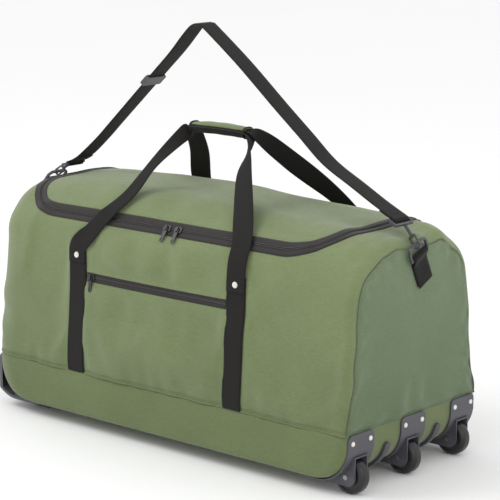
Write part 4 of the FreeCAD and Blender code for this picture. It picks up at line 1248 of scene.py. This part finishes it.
def strap_tail(end):
    """Makes the webbing's end, folded round the frame's bar and sewn down under the strap."""
    order = range(len(strap_centre)) if end == "far" else range(len(strap_centre) - 1, -1, -1)
    line = strap_centre[list(order)]
    run = run_lengths(line)
    near = [k for k, length in zip(order, run) if 12 * MM < length < 38 * MM]
    under = np.where(strap_up[near][:, 2:3] > 0, -strap_up[near], strap_up[near])
    bar = [by_frame(end, -rise, along) for rise, along in BAR_WRAP[:3]]
    flat = strap_centre[near] + under * (WEB_THICK * 1.05)
    centre = smooth_path(bar + [tuple(row) for row in flat[::3]], 5)
    across = np.repeat(np.array([[0.0, 1.0, 0.0]]), len(centre), axis=0)
    up = unit(np.cross(tangents(centre), across))
    tail = ribbon("strap_tail_" + end, centre, across, up, 37 * MM, WEB_THICK, WEBBING)
    attach(tail, "carry_strap")
    top = np.where(strap_up[near][:, 2:3] > 0, strap_up[near], -strap_up[near])
    for part in (0.35, 0.8):
        k = int(part * (len(near) - 1))
        acr = strap_across[near[k]]
        row = strap_centre[near[k]] + top[k] * (WEB_THICK / 2)
        row = row + np.linspace(-1, 1, 12)[:, None] * acr * 15 * MM
        t = np.repeat(acr[None], 12, axis=0)
        n = np.repeat(top[k][None], 12, axis=0)
        stitches("strap_sewing_%s_%d" % (end, k), row, n, "carry_strap", along=t)


strap_tail("far")
strap_tail("wheel")


# ---------------------------------------------------------------- tabs that hold the rings
TAB_LEAN = math.radians(26)
TAB_TURN = math.radians(42)
TAB_WAYS = {"wheel": (0.0, math.cos(TAB_LEAN), math.sin(TAB_LEAN)), "far": (0.0, 1.0, 0.0)}


def tab_place(end, down, off, aside=0.0):
    """Gives a point on a ring's tab: down from the ring's bar, out from it and aside."""
    pivot = np.array(next(j for j in frame["joints"] if j["name"] == "ring_tilt_" + end)["pos_m"])
    across = np.array(TAB_WAYS[end]) * aside * MM
    if end == "wheel":
        below = np.array([0.0, math.sin(TAB_LEAN), -math.cos(TAB_LEAN)])
        return pivot + below * down * MM + np.array([off * MM, 0.0, 0.0]) + across
    standoff = FAR_RADIUS + 9 * MM
    centre = pivot - np.array([-math.cos(TAB_TURN), 0.0, math.sin(TAB_TURN)]) * standoff
    angle = TAB_TURN - down * MM / FAR_RADIUS
    bent = max(angle, 0.0)
    out = np.array([-math.cos(bent), 0.0, math.sin(bent)])
    return centre + out * (standoff + off * MM) + np.array([0.0, 0.0, min(angle, 0.0) * FAR_RADIUS]) + across


for end in ("wheel", "far"):
    route = [(54, -3.6), (42, -3.6), (30, -3.5), (14, -3.0), (6, 1.4), (1.5, 3.7)]
    route += [(-3.9 * math.sin(turn), 3.9 * math.cos(turn)) for turn in np.linspace(0.4, math.pi - 0.4, 6)]
    route += [(2, -3.9), (8, -5.0), (20, -5.9), (36, -6.0), (51, -6.0)]
    centre = smooth_path([tab_place(end, down, off) for down, off in route], 6)
    across = np.repeat(np.array([TAB_WAYS[end]]), len(centre), axis=0)
    up = unit(np.cross(tangents(centre), across)) * (1.0 if end == "wheel" else -1.0)
    tab = ribbon("ring_tab_" + end, centre, across, up, 37 * MM, 2.0 * MM, WEBBING)
    attach(tab, "bag", "strap_tab_" + end)
    corners = [(52, -15), (52, 15), (30, 15), (30, -15), (52, -15), (30, 15)]
    for k in range(5):
        (d0, a0), (d1, a1) = corners[k:k + 2]
        line, above = (np.array([tab_place(end, d0 + (d1 - d0) * f, off, a0 + (a1 - a0) * f)
                                 for f in np.linspace(0, 1, 12)]) for off in (-2.5, 5.0))
        n = unit(above - line)
        stitches("tab_sewing_%s_%d" % (end, k), line, n, "bag", length=2.4 * MM, pitch=3.4 * MM)


# ---------------------------------------------------------------- seams
for end, rim in (("wheel", wheel_rim), ("far", far_rim)):
    arch_part = rim[:301]
    cord_along("end_piping_" + end, arch_part, 0.9 * MM, THREAD, "bag")


def seam_cord(name, sign):
    """Makes the folded seam where the wall meets the base."""
    xs = np.linspace(-HALF_LENGTH, HALF_LENGTH, 420)
    place, normal = surface(xs, np.full_like(xs, sign * (S_EDGE - 1.5 * MM)), 0.6 * MM)
    cord_along(name, place, 1.4 * MM, GREEN, "bag")
    line, up = surface(xs, np.full_like(xs, sign * (S_EDGE - 7 * MM)), 0.1 * MM)
    stitches(name + "_sewing", line, up, "bag", length=2.6 * MM, pitch=3.6 * MM,
             thick=0.35 * MM, material=THREAD)


seam_cord("base_seam_front", -1)
seam_cord("base_seam_rear", 1)


# ---------------------------------------------------------------- CAD pieces that stay
def finish_cad(material, *nodes):
    for node in nodes:
        obj = frame["nodes"][node]
        obj.data.materials.clear()
        obj.data.materials.append(material)


PLACES = ("front", "middle", "rear")
ENDS = ("wheel", "far")
finish_cad(HOUSING, "skid_rib_front", "skid_rib_rear", "far_end_skid", "skid_feet",
           *("wheel_housing_" + p for p in PLACES))
finish_cad(TYRE, *("wheel_tyre_" + p for p in PLACES))
finish_cad(HUB, *("wheel_hub_" + p for p in PLACES))
finish_cad(AXLE, *("wheel_axle_" + p for p in PLACES))
finish_cad(RIVET, "housing_rivets")
finish_cad(BUCKLE, "strap_adjuster", *(kind + e for e in ENDS for kind in
                                       ("strap_ring_", "snap_hook_", "hook_gate_", "strap_frame_")))
finish_cad(SLIDER, "main_zip_left_slider", "main_zip_left_pull", "main_zip_right_slider",
           "main_zip_right_pull", "pocket_zip_slider", "pocket_zip_pull")
finish_cad(BOARD, "base_board")
finish_cad(LINING, "pocket_lining")


# ---------------------------------------------------------------- stage, light and camera
def soft_light(name, place, target, size, power):
    data = bpy.data.lights.new(name, "AREA")
    data.shape = "DISK"
    data.size = size
    data.energy = power
    obj = bpy.data.objects.new(name, data)
    bpy.context.scene.collection.objects.link(obj)
    obj.location = place
    obj.rotation_mode = "QUATERNION"
    obj.rotation_quaternion = (Vector(target) - Vector(place)).to_track_quat("-Z", "Y")
    return obj


def stage_floor():
    """Makes the pale floor as one wide disc."""
    mesh = bmesh.new()
    bmesh.ops.create_circle(mesh, cap_ends=True, radius=40.0, segments=96)
    data = bpy.data.meshes.new("floor")
    mesh.to_mesh(data)
    mesh.free()
    obj = bpy.data.objects.new("floor", data)
    bpy.context.scene.collection.objects.link(obj)
    mat, tree, shader = node_material("floor_paper", 0.9, 0.1)
    cloud = noise_node(tree, object_place(tree), 0.6, 2.0)
    paper = mix_colour(tree, cloud, (0.93, 0.93, 0.93, 1), (0.96, 0.96, 0.96, 1))
    tree.links.new(paper, shader.inputs["Base Color"])
    data.materials.append(mat)


stage_floor()
world = bpy.data.worlds.new("studio")
world.use_nodes = True
world.node_tree.nodes["Background"].inputs["Color"].default_value = (1.0, 1.0, 1.0, 1.0)
world.node_tree.nodes["Background"].inputs["Strength"].default_value = 1.0
bpy.context.scene.world = world
soft_light("key_light", (-1.6, -1.9, 2.9), (0, 0, 0.2), 1.6, 36)
soft_light("fill_light", (2.8, -0.9, 1.4), (0, 0, 0.25), 2.0, 12)
bpy.context.scene.view_settings.view_transform = "Standard"

CAMERA_AZIMUTH = math.radians(41.5)
CAMERA_ELEVATION = math.radians(12.6)
CAMERA_DISTANCE = 3.291
CAMERA_TARGET = Vector((0.0, 0.0, 0.25))
camera_data = bpy.data.cameras.new("camera")
camera_data.sensor_width = 36
camera_data.lens = 140
camera_data.shift_x = 0.058
camera_data.shift_y = 0.068
camera_data.clip_end = 100
camera = bpy.data.objects.new("camera", camera_data)
bpy.context.scene.collection.objects.link(camera)
back = Vector((math.sin(CAMERA_AZIMUTH) * math.cos(CAMERA_ELEVATION),
               -math.cos(CAMERA_AZIMUTH) * math.cos(CAMERA_ELEVATION), math.sin(CAMERA_ELEVATION)))
camera.location = CAMERA_TARGET + back * CAMERA_DISTANCE
camera.rotation_mode = "QUATERNION"
camera.rotation_quaternion = (-back).to_track_quat("-Z", "Y")
bpy.context.scene.camera = camera
